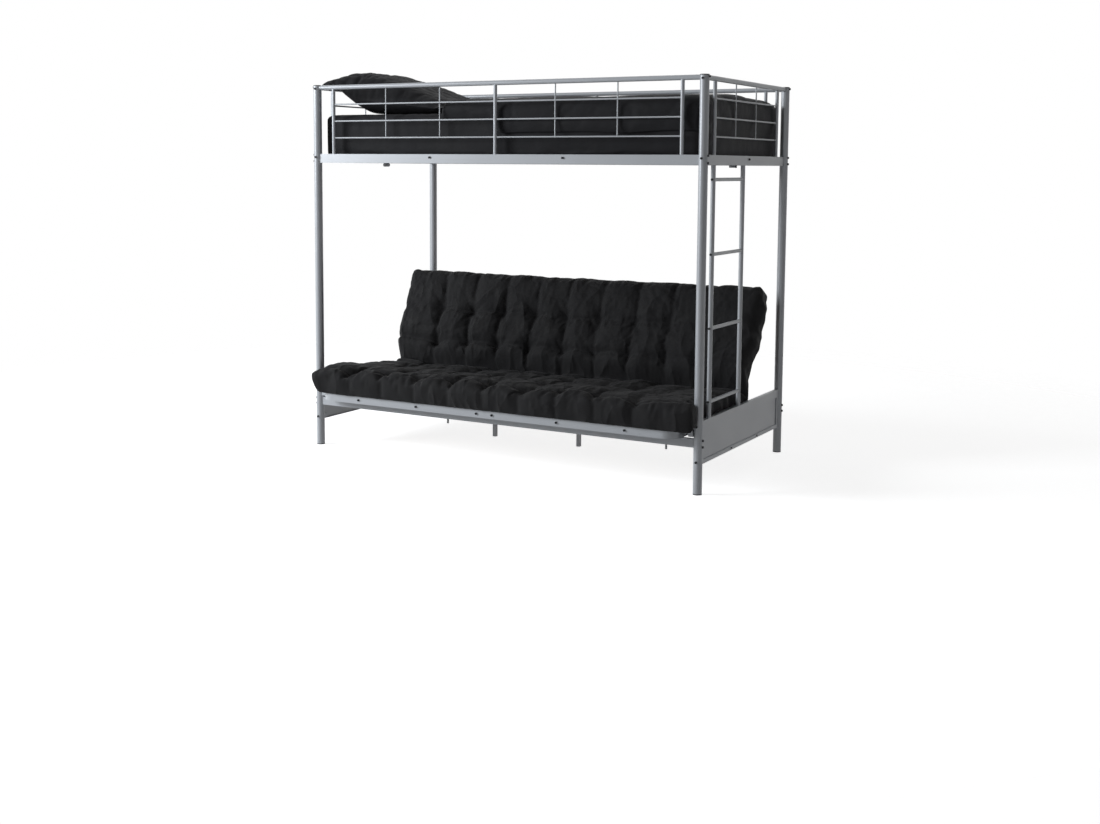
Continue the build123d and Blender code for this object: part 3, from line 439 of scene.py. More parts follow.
def simulate(obj, pinned, cap, frames, growth, pressure):
    """Cloth under pressure, held at its pinned points, with no point moving further than the cap."""
    start = read_points(obj.data)
    group = obj.vertex_groups.new(name="pinned")
    group.add([int(i) for i in np.nonzero(pinned)[0]], 1.0, "REPLACE")
    modifier = obj.modifiers.new("Cloth", "CLOTH")
    cloth = modifier.settings
    cloth.quality = CLOTH_QUALITY
    cloth.mass = CLOTH_MASS
    cloth.bending_stiffness = CLOTH_BENDING
    cloth.shrink_min = -growth
    cloth.vertex_group_mass = group.name
    cloth.use_pressure = True
    cloth.uniform_pressure_force = pressure
    cloth.effector_weights.gravity = 0
    modifier.collision_settings.use_collision = False
    for number in range(1, frames + 1):
        bpy.context.scene.frame_set(number)
    moved = read_points(obj.evaluated_get(bpy.context.evaluated_depsgraph_get()).data) - start
    length = np.linalg.norm(moved, axis=1)
    share = cap * np.tanh(length / cap) / np.maximum(length, TINY)
    obj.modifiers.remove(modifier)
    obj.vertex_groups.remove(group)
    bpy.context.scene.frame_set(1)
    write_points(obj.data, start + moved * share[:, None])


def subdivided(obj):
    """One level of subdivision, applied to the mesh."""
    modifier = obj.modifiers.new("Subdivision", "SUBSURF")
    modifier.levels = 1
    finer = bpy.data.meshes.new_from_object(obj.evaluated_get(bpy.context.evaluated_depsgraph_get()))
    obj.modifiers.remove(modifier)
    old = obj.data
    finer.name = old.name
    obj.data = finer
    bpy.data.meshes.remove(old)


def relieve(obj, amounts):
    """Moves each point along its normal by its own amount."""
    normals = np.empty(len(obj.data.vertices) * 3)
    obj.data.vertices.foreach_get("normal", normals)
    write_points(obj.data, read_points(obj.data) + normals.reshape(-1, 3) * amounts[:, None])


def dress(obj, material):
    """Smooth shading and one material for a new piece."""
    obj.data.materials.clear()
    obj.data.materials.append(material)
    obj.data.polygons.foreach_set("use_smooth", [True] * len(obj.data.polygons))


# Materials

def node(tree, kind, **values):
    """A shader node with its settings and unlinked inputs."""
    made = tree.nodes.new(kind)
    for name, value in values.items():
        if hasattr(made, name):
            setattr(made, name, value)
        else:
            made.inputs[name.replace("_", " ")].default_value = value
    return made


def plain_material(name, metallic, specular=0.5, sheen=0.0):
    """A material with its shader and object coordinates, ready for its texture nodes."""
    material = bpy.data.materials.new(name)
    material.use_nodes = True
    tree = material.node_tree
    shader = tree.nodes["Principled BSDF"]
    shader.inputs["Metallic"].default_value = metallic
    shader.inputs["Specular IOR Level"].default_value = specular
    shader.inputs["Sheen Weight"].default_value = sheen
    place = tree.nodes.new("ShaderNodeTexCoord").outputs["Object"]
    return material, tree, shader, place


def noise(tree, place, scale, detail=3.0):
    made = node(tree, "ShaderNodeTexNoise", Scale=scale, Detail=detail)
    tree.links.new(place, made.inputs["Vector"])
    return made.outputs["Fac"]


def stretched(tree, place, scale):
    """Coordinates scaled differently along each axis, for grain and folds."""
    made = tree.nodes.new("ShaderNodeMapping")
    made.inputs["Scale"].default_value = scale
    tree.links.new(place, made.inputs["Vector"])
    return made.outputs["Vector"]


def ramp(tree, factor, stops):
    """A colour ramp with stops of position and colour."""
    made = tree.nodes.new("ShaderNodeValToRGB")
    elements = made.color_ramp.elements
    while len(elements) < len(stops):
        elements.new(0.5)
    for element, (position, colour) in zip(elements, stops):
        element.position = position
        element.color = (*colour, 1)
    tree.links.new(factor, made.inputs["Fac"])
    return made.outputs["Color"]


def span(tree, factor, ends):
    """Carries a texture's middle range to a low and a high value."""
    made = tree.nodes.new("ShaderNodeMapRange")
    for name, value in zip(("From Min", "From Max", "To Min", "To Max"), (*TEXTURE_RANGE, *ends)):
        made.inputs[name].default_value = value
    tree.links.new(factor, made.inputs["Value"])
    return made.outputs["Result"]


def wrinkles(tree, place, scale):
    """Sharp lines between soft fields, for creased cloth."""
    made = node(tree, "ShaderNodeTexNoise", noise_type="RIDGED_MULTIFRACTAL", Scale=scale,
                Detail=WRINKLE_DETAIL)
    made.inputs["Offset"].default_value = WRINKLE_OFFSET
    tree.links.new(place, made.inputs["Vector"])
    return made.outputs["Fac"]


def bump(tree, height, strength, distance, under=None):
    made = node(tree, "ShaderNodeBump", Strength=strength, Distance=distance)
    tree.links.new(height, made.inputs["Height"])
    if under:
        tree.links.new(under, made.inputs["Normal"])
    return made.outputs["Normal"]


def weave(tree, place, threads, strength, distance, under):
    """Crossed threads as relief, the same on faces of any direction."""
    normal = under
    for axis in ("X", "Y", "Z"):
        made = node(tree, "ShaderNodeTexWave", bands_direction=axis, Scale=threads)
        made.inputs["Distortion"].default_value = THREAD_DISTORTION
        made.inputs["Detail Scale"].default_value = THREAD_DETAIL
        tree.links.new(place, made.inputs["Vector"])
        normal = bump(tree, made.outputs["Fac"], strength, distance, normal)
    return normal


def painted_steel():
    """Silver paint: a fine flake, a slightly uneven gloss and faint orange peel."""
    material, tree, shader, place = plain_material("silver_paint", PAINT_METALLIC)
    flake = noise(tree, place, *PAINT_FLAKE)
    cloudy = noise(tree, place, PAINT_CLOUDS)
    tree.links.new(ramp(tree, flake, PAINT_TONES), shader.inputs["Base Color"])
    tree.links.new(span(tree, cloudy, PAINT_ROUGHNESS), shader.inputs["Roughness"])
    normal = bump(tree, noise(tree, place, PAINT_PEEL), *PAINT_PEEL_RELIEF)
    tree.links.new(bump(tree, flake, *PAINT_FLAKE_RELIEF, normal), shader.inputs["Normal"])
    return material


def black_oxide():
    """Blackened screws with brighter rubbed places."""
    material, tree, shader, place = plain_material("bolt_black", OXIDE_METALLIC)
    rubbed = noise(tree, place, OXIDE_RUBBED)
    tree.links.new(ramp(tree, rubbed, OXIDE_TONES), shader.inputs["Base Color"])
    tree.links.new(span(tree, rubbed, OXIDE_ROUGHNESS), shader.inputs["Roughness"])
    tree.links.new(bump(tree, rubbed, *OXIDE_RELIEF), shader.inputs["Normal"])
    return material


def black_plastic():
    """Moulded plastic with a fine eroded grain."""
    material, tree, shader, place = plain_material("black_plastic", 0.0, PLASTIC_SPECULAR)
    grain = noise(tree, place, *PLASTIC_GRAIN)
    cloudy = noise(tree, place, PLASTIC_CLOUDS)
    tree.links.new(ramp(tree, cloudy, PLASTIC_TONES), shader.inputs["Base Color"])
    tree.links.new(span(tree, grain, PLASTIC_ROUGHNESS), shader.inputs["Roughness"])
    tree.links.new(bump(tree, grain, *PLASTIC_RELIEF), shader.inputs["Normal"])
    return material


def slat_wood(name, lean):
    """Pale bare wood, its grain along boards that lean back by an angle."""
    material, tree, shader, place = plain_material(name, 0.0, WOOD_SPECULAR)
    board = tree.nodes.new("ShaderNodeMapping")
    board.vector_type = "TEXTURE"
    board.inputs["Rotation"].default_value = (math.radians(lean), 0, 0)
    board.inputs["Scale"].default_value = WOOD_GRAIN
    tree.links.new(place, board.inputs["Vector"])
    grain = noise(tree, board.outputs["Vector"], *WOOD_NOISE)
    tree.links.new(ramp(tree, grain, WOOD_TONES), shader.inputs["Base Color"])
    tree.links.new(span(tree, grain, WOOD_ROUGHNESS), shader.inputs["Roughness"])
    tree.links.new(bump(tree, grain, *WOOD_RELIEF), shader.inputs["Normal"])
    return material


def black_cotton():
    """Matt black cotton drill: woven, slightly dusty, with pulled wrinkles."""
    material, tree, shader, place = plain_material("black_cotton", 0.0, COTTON_SPECULAR, COTTON_SHEEN)
    shader.inputs["Sheen Roughness"].default_value = COTTON_SHEEN_ROUGHNESS
    dust = noise(tree, place, *COTTON_DUST)
    tree.links.new(ramp(tree, dust, COTTON_TONES), shader.inputs["Base Color"])
    tree.links.new(span(tree, dust, COTTON_ROUGHNESS), shader.inputs["Roughness"])
    pulled = wrinkles(tree, stretched(tree, place, COTTON_WRINKLE_STRETCH), COTTON_WRINKLES)
    small = bump(tree, pulled, *COTTON_WRINKLE_RELIEF)
    small = bump(tree, noise(tree, place, *COTTON_CRUMPLE), *COTTON_CRUMPLE_RELIEF, small)
    tree.links.new(weave(tree, place, *COTTON_THREADS, small), shader.inputs["Normal"])
    return material


def black_linen():
    """Black bed linen with a faint sheen, finely woven and softly creased."""
    material, tree, shader, place = plain_material("black_linen", 0.0, LINEN_SPECULAR, LINEN_SHEEN)
    shader.inputs["Sheen Roughness"].default_value = LINEN_SHEEN_ROUGHNESS
    cloudy = noise(tree, place, *LINEN_CLOUDS)
    tree.links.new(ramp(tree, cloudy, LINEN_TONES), shader.inputs["Base Color"])
    tree.links.new(span(tree, cloudy, LINEN_ROUGHNESS), shader.inputs["Roughness"])
    soft = noise(tree, stretched(tree, place, LINEN_FOLD_STRETCH), *LINEN_FOLDS)
    folds = bump(tree, soft, *LINEN_FOLD_RELIEF)
    tree.links.new(weave(tree, place, *LINEN_THREADS, folds), shader.inputs["Normal"])
    return material


cotton = black_cotton()
linen = black_linen()
slot_materials = {
    "silver_steel": painted_steel(),
    "bolt_black": black_oxide(),
    "black_plastic": black_plastic(),
    "slat_wood": slat_wood("slat_wood", 0.0),
    "bed_linen": linen,
    "futon_cotton": cotton,
}
for part in frame["record"]["subparts"]:
    shown = frame["nodes"][part["node"]]
    shown.data.materials.clear()
    shown.data.materials.append(slot_materials[part["material_slot"]])
frame["nodes"]["back_slats"].data.materials[0] = slat_wood("leaning_slat_wood", FOLD_ANGLE)


# The futon: modelled flat, then folded

def bay(place, lines):
    """How full a puff is between its two nearest lines: 0 on a line, 1 midway. Also the line's number."""
    lines = np.asarray(lines)
    number = np.clip(np.searchsorted(lines, place) - 1, 0, len(lines) - 2)
    low, high = lines[number], lines[number + 1]
    offset = np.clip(np.abs(2 * (place - low) / (high - low) - 1), 0, 1)
    return np.sqrt(1 - offset ** PUFF_POWER), number


def edge_rise(distance, reach):
    """A rounded edge: 0 at the rim, 1 from the reach inwards."""
    inside = 1 - np.clip(distance / reach, 0, 1)
    return np.sqrt(np.maximum(1 - inside ** EDGE_POWER, 0))


def tuft_columns():
    """Places of the lines of tufts across the futon."""
    middle = (TUFT_COLUMNS - 1) / 2
    return [(i - middle) * TUFT_PITCH for i in range(TUFT_COLUMNS)]


def tuft_lines():
    """The lines of tufts with the futon's two ends."""
    return [-BACK_HALF - EDGE_LINE] + tuft_columns() + [BACK_HALF + EDGE_LINE]


def row_lines():
    """Places of the rows along the futon with its front, fold and top, and how deep each is drawn."""
    rows = [-EDGE_LINE] + [FUTON_SEAT - row for row in reversed(SEAT_ROWS)] + [FUTON_SEAT]
    depths = [0.0, *reversed(SEAT_ROW_DEPTHS), FOLD_DEPTH]
    rows += [FUTON_SEAT + row for row in BACK_ROWS] + [FUTON_SEAT + FUTON_BACK + EDGE_LINE]
    depths += list(BACK_ROW_DEPTHS) + [0.0]
    return rows, np.array(depths)


def calmness(u):
    """Share of the full relief: the futon is flatter toward its right-hand end."""
    return 1 - CALM_SHARE * np.clip((u - CALM_START) / CALM_LENGTH, 0, 1)


def tuft_relief(across, along, calm):
    """Dents of the tufts, and the folds that run out from them."""
    rows = row_lines()[0][1:-1]
    tufts = [(column, row) for column in tuft_columns() for row in rows if row != FUTON_SEAT]
    dents = np.zeros_like(across)
    folds = np.zeros_like(across)
    for number, (column, row) in enumerate(tufts):
        du = across - column
        dv = along - row
        reach = np.hypot(du, dv)
        dents += calm * TUFT_DEPTH * np.exp(-(reach / TUFT_RADIUS) ** TUFT_POWER)
        angle = np.arctan2(dv, du)
        turn = number * RAY_TURN
        rays = np.cos(angle * RAY_COUNTS[0] + turn) + RAY_SECOND * np.cos(angle * RAY_COUNTS[1] - turn)
        fade = np.exp(-reach / RAY_REACH) * np.clip(reach / RAY_START, 0, 1)
        folds += (1 - np.minimum(np.abs(rays) * RAY_WIDTH, 1)) * fade
    return dents + RAY_DEPTH * calm * folds


def futon_height(u, v):
    """Height of the futon's upper side over its underside, tufted, creased and puffed."""
    on_seat = np.clip((FUTON_SEAT - v) / SEAT_FADE, 0, 1)
    across = u + (COLUMN_DRIFT + COLUMN_SEAT_DRIFT * on_seat) * waves(u, v, *COLUMN_WAVES)
    across = across + COLUMN_RIPPLE * waves(u, v, *COLUMN_RIPPLES)
    along = v + (ROW_DRIFT + ROW_SEAT_DRIFT * on_seat) * waves(u, v, *ROW_WAVES)
    rows, depths = row_lines()
    fullness, column = bay(across, tuft_lines())
    swell, row = bay(along, rows)
    low = np.asarray(rows)[row]
    high = np.asarray(rows)[row + 1]
    place = np.clip((along - low) / (high - low), 0, 1)
    row_depth = depths[row] * (1 - place) ** ROW_POWER + depths[row + 1] * place ** ROW_POWER
    crown = np.interp(v, CROWN_PLACES, CROWNS)
    channel = np.interp(v, CHANNEL_PLACES, CHANNELS)
    calm = calmness(u)
    height = crown - calm * channel * (1 - fullness) - calm * row_depth * (1 - swell)
    height += rng_cells[column, row] * fullness * swell + SEAT_SWELL * on_seat * waves(u, v, *SEAT_SWELLS)
    height -= tuft_relief(across, along, calm)
    height -= LONG_CREASE * creases(u, v, *LONG_CREASES)
    height -= SHORT_CREASE * creases(u, v, *SHORT_CREASES)
    height += LUMP * waves(u, v, *LUMPS)
    return np.maximum(height, FUTON_THINNEST)


def futon_place(u, v, n):
    """Folds flat futon coordinates into their resting place, squeezed where the two halves meet."""
    lean = math.radians(FOLD_ANGLE)
    half = math.tan(lean / 2)
    distance = np.abs(v - FUTON_SEAT)
    squeezed = n * half + distance * (1 - n * half / FOLD_SQUEEZE)
    distance = np.where(distance < FOLD_SQUEEZE, squeezed, distance)
    seat = np.stack([u, FOLD_Y - distance, FOLD_Z + n], -1)
    back_y = FOLD_Y + distance * math.cos(lean) - n * math.sin(lean)
    back_z = FOLD_Z + distance * math.sin(lean) + n * math.cos(lean)
    back = np.stack([u, back_y, back_z], -1)
    return np.where((v <= FUTON_SEAT)[..., None], seat, back)


def futon_half(u, v, before_posts):
    """Half the futon's length at each place: longer on the back, and where no frame is beside it."""
    on_back = np.clip((v - FUTON_SEAT) / BACK_WIDENING, 0, 1)
    half = SEAT_HALF + (BACK_HALF - SEAT_HALF) * on_back
    half = half + before_posts * np.where(u > 0, FRONT_RIGHT_REACH, -FRONT_LEFT_DRAW)
    free_from = np.where(u > 0, PAST_LADDER, PAST_FOLD)
    return half + BACK_REACH * np.clip((v - FUTON_SEAT - free_from) / BACK_REACH_FADE, 0, 1)


def futon_grid():
    """Places over the flat futon, closer together at its edges, with irregular rims."""
    across = int(round(2 * SEAT_HALF / FUTON_STEP))
    along = int(round(FUTON_LENGTH / FUTON_STEP))
    rim_places = 1 - np.array(RIM_PLACES) / SEAT_HALF
    middle = np.linspace(-rim_places[-1], rim_places[-1], across - 1)
    places = np.concatenate([-rim_places[:-1], middle, rim_places[-2::-1]])
    u, v = np.meshgrid(places, np.linspace(0, 1, along + 1), indexing="ij")
    v = v - GRID_EASE / (2 * math.pi) * np.sin(2 * math.pi * v)
    rim = RIM_WAVE * waves(u * SEAT_HALF, v * FUTON_LENGTH, *RIM_WAVES)
    rim += RIM_RIPPLE * waves(u * SEAT_HALF, v * FUTON_LENGTH, *RIM_RIPPLES)
    before_posts = np.clip((BEFORE_POSTS - v * FUTON_LENGTH) / BEFORE_POSTS_FADE, 0, 1)
    half = futon_half(u, v * FUTON_LENGTH, before_posts)
    rim = rim * (1 - BEFORE_POSTS_CALM * before_posts)
    corner = np.clip((v * FUTON_LENGTH - FUTON_LENGTH + TOP_CORNER) / TOP_CORNER, 0, 1) * (u > 0)
    draw = RIM_DRAW + np.abs(rim) + TOP_CORNER_DRAW * (1 - np.sqrt(1 - corner ** 2))
    u = u * (half - draw * np.abs(u) ** RIM_POWER)
    ends = np.abs(2 * v - 1) ** END_POWER
    v = 0.5 * FUTON_LENGTH + (v - 0.5) * (FUTON_LENGTH - (RIM_SEAM + np.abs(rim)) * ends)
    fullness = bay(u, tuft_lines())[0]
    v = v + SCALLOP * (1 - fullness) * np.exp(-v / SCALLOP_REACH)
    return u, v, half - np.abs(u)


def futon_corners(u, v):
    """How near a place is to one of the futon's front corners, from 0 to 1."""
    near_side = np.clip((np.abs(u) - CORNER_SIDE[0]) / CORNER_SIDE[1], 0, 1)
    return near_side * np.clip((CORNER_FRONT[0] - v) / CORNER_FRONT[1], 0, 1)


def futon_sides(u, v, side, end):
    """Heights of the upper and the lower side, which meet in a seam all round."""
    height = futon_height(u, v)
    corner = futon_corners(u, v)
    corner_left = corner * (u < 0)
    corner_right = corner * (u > 0)
    nose = FUTON_NOSE + CORNER_NOSE * corner_left - CORNER_SQUARE * corner_right
    rise = edge_rise(side - RIM_SEAM, nose) * edge_rise(end - RIM_SEAM, FUTON_NOSE)
    share = np.interp(v, SEAM_PLACES, SEAMS)
    seam = height * (share + (CORNER_SEAM - share) * corner_left)
    upper = seam + (height - seam) * rise
    under_round = np.interp(v, UNDER_ROUND_PLACES, UNDER_ROUNDS)
    under_round = under_round - CORNER_SQUARE * corner_right * CORNER_UNDER_SHARE
    under_rise = edge_rise(side - UNDER_SIDE, under_round) * edge_rise(end - UNDER_END, UNDER_END_ROUND)
    lower = seam * (1 - under_rise)
    hang = np.clip((HANG_START - v) / HANG_FADE, 0, 1)
    return upper, np.minimum(lower - FUTON_HANG * hang * hang * (3 - 2 * hang), upper - SKIN)


def futon_pins(u, v, side):
    """Which points of the upper, then the lower side the simulation holds."""
    upper = np.abs(v - FUTON_SEAT) < HELD_FOLD
    rows = [row for row in row_lines()[0][1:-1] if row != FUTON_SEAT]
    for column in tuft_columns():
        for row in rows:
            upper |= np.hypot(u - column, v - row) < HELD_TUFT
    return np.concatenate([upper.ravel(), (side > HELD_SIDE).ravel()])


def make_futon():
    """The futon of seat and back in one piece, which bends at the fold."""
    u, v, side = futon_grid()
    end = np.minimum(v, FUTON_LENGTH - v)
    upper, lower = futon_sides(u, v, side, end)
    obj = grid_shell("futon", np.stack([u, v, upper], -1), np.stack([u, v, lower], -1))
    simulate(obj, futon_pins(u, v, side), *SIMULATIONS["futon"])
    subdivided(obj)
    flat = read_points(obj.data)
    flat[:, 2] = np.maximum(flat[:, 2], np.where(flat[:, 1] < HANG_START, -FUTON_HANG, LIFT))
    fine = FINE_CREASE * creases(flat[:, 0], flat[:, 1], *FINE_CREASES) * (flat[:, 2] > FINE_ABOVE)
    write_points(obj.data, futon_place(flat[:, 0], flat[:, 1], flat[:, 2] - fine))
    dress(obj, cotton)
    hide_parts("futon_seat", "futon_back")
    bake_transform(obj)


rng_cells = rng.uniform(-CELL_SPREAD, CELL_SPREAD, (TUFT_COLUMNS + 2, len(SEAT_ROWS) + len(BACK_ROWS) + 3))
make_futon()


# The upper bedding

def mattress_rings(half_x, half_y, thickness):
    """Rounded oblong rings of points along the mattress, drawn in at its two ends."""
    turns = np.linspace(0, 2 * math.pi, MATTRESS_TURNS, endpoint=False)
    c, s = np.cos(turns), np.sin(turns)
    rings = []
    for share in np.linspace(-1, 1, MATTRESS_RINGS):
        x = half_x * share * MATTRESS_END_PLACE / MATTRESS_END
        if abs(share) > MATTRESS_END:
            x = half_x * math.sin(share * math.pi / 2)
        near_end = np.clip((half_x - abs(x)) / MATTRESS_ROUND, 0, 1)
        draw = MATTRESS_ROUND * (1 - math.sqrt(1 - (1 - near_end) ** 2))
        y = (half_y - draw) * np.sign(c) * np.abs(c) ** MATTRESS_CORNER_POWER
        half_z = thickness / 2 - draw * MATTRESS_END_SINK
        z = half_z * np.sign(s) * np.abs(s) ** MATTRESS_CORNER_POWER
        rings.append(np.stack([np.full_like(y, x), y, z + thickness / 2], -1))
    return np.array(rings)


def make_mattress():
    """A foam mattress in a stretched black sheet, drawn tight over its rounded edges."""
    low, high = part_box("upper_mattress")
    half_x = (high.x - low.x) / 2 + MATTRESS_REACH
    half_y = (high.y - low.y) / 2 - MATTRESS_MARGIN
    thickness = high.z - low.z - MATTRESS_MARGIN
    points = mattress_rings(half_x, half_y, thickness)
    index = np.arange(MATTRESS_RINGS * MATTRESS_TURNS).reshape(MATTRESS_RINGS, MATTRESS_TURNS)
    after = np.roll(index, -1, axis=1)
    faces = np.stack([index[:-1], after[:-1], after[1:], index[1:]], -1).reshape(-1, 4).tolist()
    faces += [index[0, ::-1].tolist(), index[-1].tolist()]
    obj = mesh_object("sheeted_mattress", points.reshape(-1, 3).tolist(), faces)
    mesh = obj.data
    relief = read_points(mesh)
    x, y, z = relief.T
    pulled = SHEET_PULL * creases(x, z * SHEET_PULL_STEEPNESS + y, *SHEET_PULLS)
    pulled = pulled + SHEET_WAVE * waves(x, z * SHEET_WAVE_STEEPNESS, *SHEET_WAVES)
    on_side = np.abs(y) > half_y * MATTRESS_SIDE
    relief[:, 1] -= np.sign(y) * np.clip(pulled, 0, None) * on_side
    relief[:, 2] -= (z > thickness * MATTRESS_TOP) * SHEET_TOP_CREASE * creases(x, y, *SHEET_TOP_CREASES)
    write_points(mesh, relief)
    mesh.transform(Matrix.Translation(((low.x + high.x) / 2, (low.y + high.y) / 2, low.z)))
    face_outward(mesh)
    dress(obj, linen)
    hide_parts("upper_mattress")
    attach(obj, "root")


def drape(along, across, box, top, radius):
    """Carries flat cloth coordinates over the top, the long sides and the foot end of a box."""
    left, right, half = box
    over_x = np.maximum(along - (right - left - radius), 0)
    over_y = np.maximum(np.abs(across) - (half - radius), 0)
    over = np.maximum(over_x, over_y)
    turn = np.minimum(over / radius, math.pi / 2)
    reach = radius * np.sin(turn)
    fall = radius * (1 - np.cos(turn)) + np.maximum(over - radius * math.pi / 2, 0)
    norm = np.maximum(np.hypot(over_x, over_y), TINY)
    x = left + np.minimum(along, right - left - radius) + reach * over_x / norm
    y = np.sign(across) * (np.minimum(np.abs(across), half - radius) + reach * over_y / norm)
    return np.stack([x, y, top - fall], -1)


def lifted_hem(along, across, half, drop):
    """Shortens the cloth that hangs at the front beside the pillow."""
    lifted = np.clip((HEM_LIFT_REACH - along) / HEM_LIFT_FADE, 0, 1) * (across < 0)
    hanging = np.maximum(np.abs(across) - half + DUVET_ROUND, 0) * (1 - lifted * HEM_LIFT / drop)
    return np.sign(across) * (np.minimum(np.abs(across), half - DUVET_ROUND) + hanging)


def make_duvet():
    """A filled duvet, crowned over the mattress and hanging over its long sides and its foot end."""
    low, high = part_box("upper_duvet")
    bed_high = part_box("upper_mattress")[1]
    middle = (low.y + high.y) / 2
    half = (high.y - low.y) / 2 - DUVET_SIDE_MARGIN
    right = high.x - DUVET_FOOT_MARGIN
    left = low.x + DUVET_HEAD_MARGIN
    shoulder = bed_high.z + DUVET_RISE
    drop = shoulder - low.z - DUVET_ROUND + DUVET_ROUND * math.pi / 2
    reach_x = right - left - DUVET_ROUND + drop
    reach_y = half - DUVET_ROUND + drop
    s, w = np.meshgrid(np.linspace(0, 1, int(reach_x / DUVET_STEP)),
                       np.linspace(-1, 1, int(2 * reach_y / DUVET_STEP)), indexing="ij")
    along, across = s * reach_x, w * reach_y
    arch = np.cos(np.clip(across / half, -1, 1) * math.pi / 2) ** DUVET_CROWN_POWER
    crown = DUVET_CROWN * arch * np.clip(along / DUVET_CROWN_FADE, DUVET_CROWN_LEAST, 1)
    crown = crown + DUVET_SWELL * waves(along, across, *DUVET_SWELLS)
    ragged = HEM_WAVE * waves(along, np.sign(across) * HEM_SIDES, *HEM_WAVES)
    stretch = 1 + np.where(np.abs(w) > HEM_PLACE, ragged / reach_y, 0)
    hung = lifted_hem(along, across, half, drop)
    outer = drape(along, hung * stretch, (left, right, half), shoulder + crown, DUVET_ROUND)
    inner_half = bed_high.y - middle + DUVET_GAP
    inner = drape(along * (bed_high.x - left) / (right - left), hung * inner_half / half,
                  (left, bed_high.x + DUVET_GAP, inner_half), bed_high.z + DUVET_GAP, DUVET_UNDER_ROUND)
    rim = np.minimum(np.minimum(along, reach_x - along), reach_y - np.abs(across))
    close = edge_rise(rim, DUVET_RIM)[..., None]
    seam = inner + (outer - inner) * DUVET_SEAM
    outer = seam + (outer - seam) * close
    inner = seam + (inner - seam) * close
    for points in (outer, inner):
        points[..., 1] += middle
    obj = grid_shell("duvet", outer, inner)
    folds = DUVET_FOLD * creases(along, across, *DUVET_FOLDS)
    folds = folds + DUVET_CREASE * creases(along, across, *DUVET_CREASES)
    upright = (np.abs(across) > half - DUVET_ROUND) | (along > right - left - DUVET_ROUND)
    folds = np.where(upright, folds * DUVET_UPRIGHT_SHARE, folds)
    relieve(obj, np.concatenate([-(folds * close[..., 0]).ravel(), np.zeros(s.size)]))
    simulate(obj, np.repeat([False, True], s.size), *SIMULATIONS["duvet"])
    subdivided(obj)
    dress(obj, linen)
    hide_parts("upper_duvet")
    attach(obj, "root")


def make_pillow():
    """A pillow whose head end is propped on the guard's tube and whose foot lies on the mattress."""
    low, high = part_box("pillow")
    mattress_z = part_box("upper_mattress")[1].z
    length = high.x - low.x
    half = (high.y - low.y) / 2
    across = int(round((high.y - low.y) / PILLOW_STEP))
    along = int(round(length / PILLOW_STEP))
    s, t = np.meshgrid(np.linspace(0, 1, along + 1), np.linspace(-1, 1, across + 1), indexing="ij")
    waist = 1 - PILLOW_WAIST * np.sin(s * math.pi) * np.abs(t) ** 2
    x = low.x - PILLOW_SHIFT + length * (s + PILLOW_END_DRAW * (1 - 2 * s) * (1 - np.abs(t) ** 2))
    y = (low.y + high.y) / 2 + half * t * waist
    upper = np.interp(s, PILLOW_PLACES, PILLOW_TOP)
    lower = np.interp(s, PILLOW_PLACES, PILLOW_UNDER)
    seam = lower + (upper - lower) * PILLOW_SEAM
    rise = edge_rise(1 - np.abs(t), PILLOW_SIDE_ROUND)
    upper = seam + (upper - seam) * rise
    lower = seam + (lower - seam) * rise
    upper -= PILLOW_FOLD * creases(x, y, *PILLOW_FOLDS) * rise
    upper -= np.interp(s, PILLOW_CREASE_PLACES, PILLOW_CREASE_DEPTHS) * creases(x, y, *PILLOW_CREASES)
    upper = np.minimum(upper, high.z - mattress_z - PILLOW_MARGIN)
    top = np.stack([x, y, upper + mattress_z], -1)
    bottom = np.stack([x, y, np.minimum(lower, upper - PILLOW_SKIN) + mattress_z], -1)
    obj = grid_shell("pillow_filled", top, bottom)
    simulate(obj, np.repeat([False, True], s.size), *SIMULATIONS["pillow"])
    subdivided(obj)
    dress(obj, linen)
    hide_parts("pillow")
    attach(obj, "root")


make_mattress()
make_duvet()
make_pillow()


# Studio

def make_camera():
    """A camera turned by yaw, pitch and roll."""
    yaw, pitch, roll = (math.radians(a) for a in (CAMERA_YAW, CAMERA_PITCH, CAMERA_ROLL))
    forward = Vector((-math.sin(yaw) * math.cos(pitch), math.cos(yaw) * math.cos(pitch), math.sin(pitch)))
    right = Vector((math.cos(yaw), math.sin(yaw), 0))
    up = right.cross(forward)
    tilted_right = right * math.cos(roll) + up * math.sin(roll)
    tilted_up = up * math.cos(roll) - right * math.sin(roll)
    turn = Matrix((tilted_right, tilted_up, -forward)).transposed().to_4x4()
    data = bpy.data.cameras.new("camera")
    data.sensor_width = CAMERA_SENSOR
    data.lens = CAMERA_LENS
    data.shift_y = CAMERA_SHIFT_Y
    camera = bpy.data.objects.new("camera", data)
    camera.matrix_world = Matrix.Translation(CAMERA_PLACE) @ turn
    bpy.context.scene.collection.objects.link(camera)
    bpy.context.scene.camera = camera


def make_lamp(name, place, target, size, energy, colour):
    """A square lamp that faces its target."""
    data = bpy.data.lights.new(name, "AREA")
    data.shape = "SQUARE"
    data.size = size
    data.energy = energy
    data.color = colour
    lamp = bpy.data.objects.new(name, data)
    lamp.location = place
    lamp.rotation_euler = (Vector(target) - Vector(place)).to_track_quat("-Z", "Y").to_euler()
    bpy.context.scene.collection.objects.link(lamp)


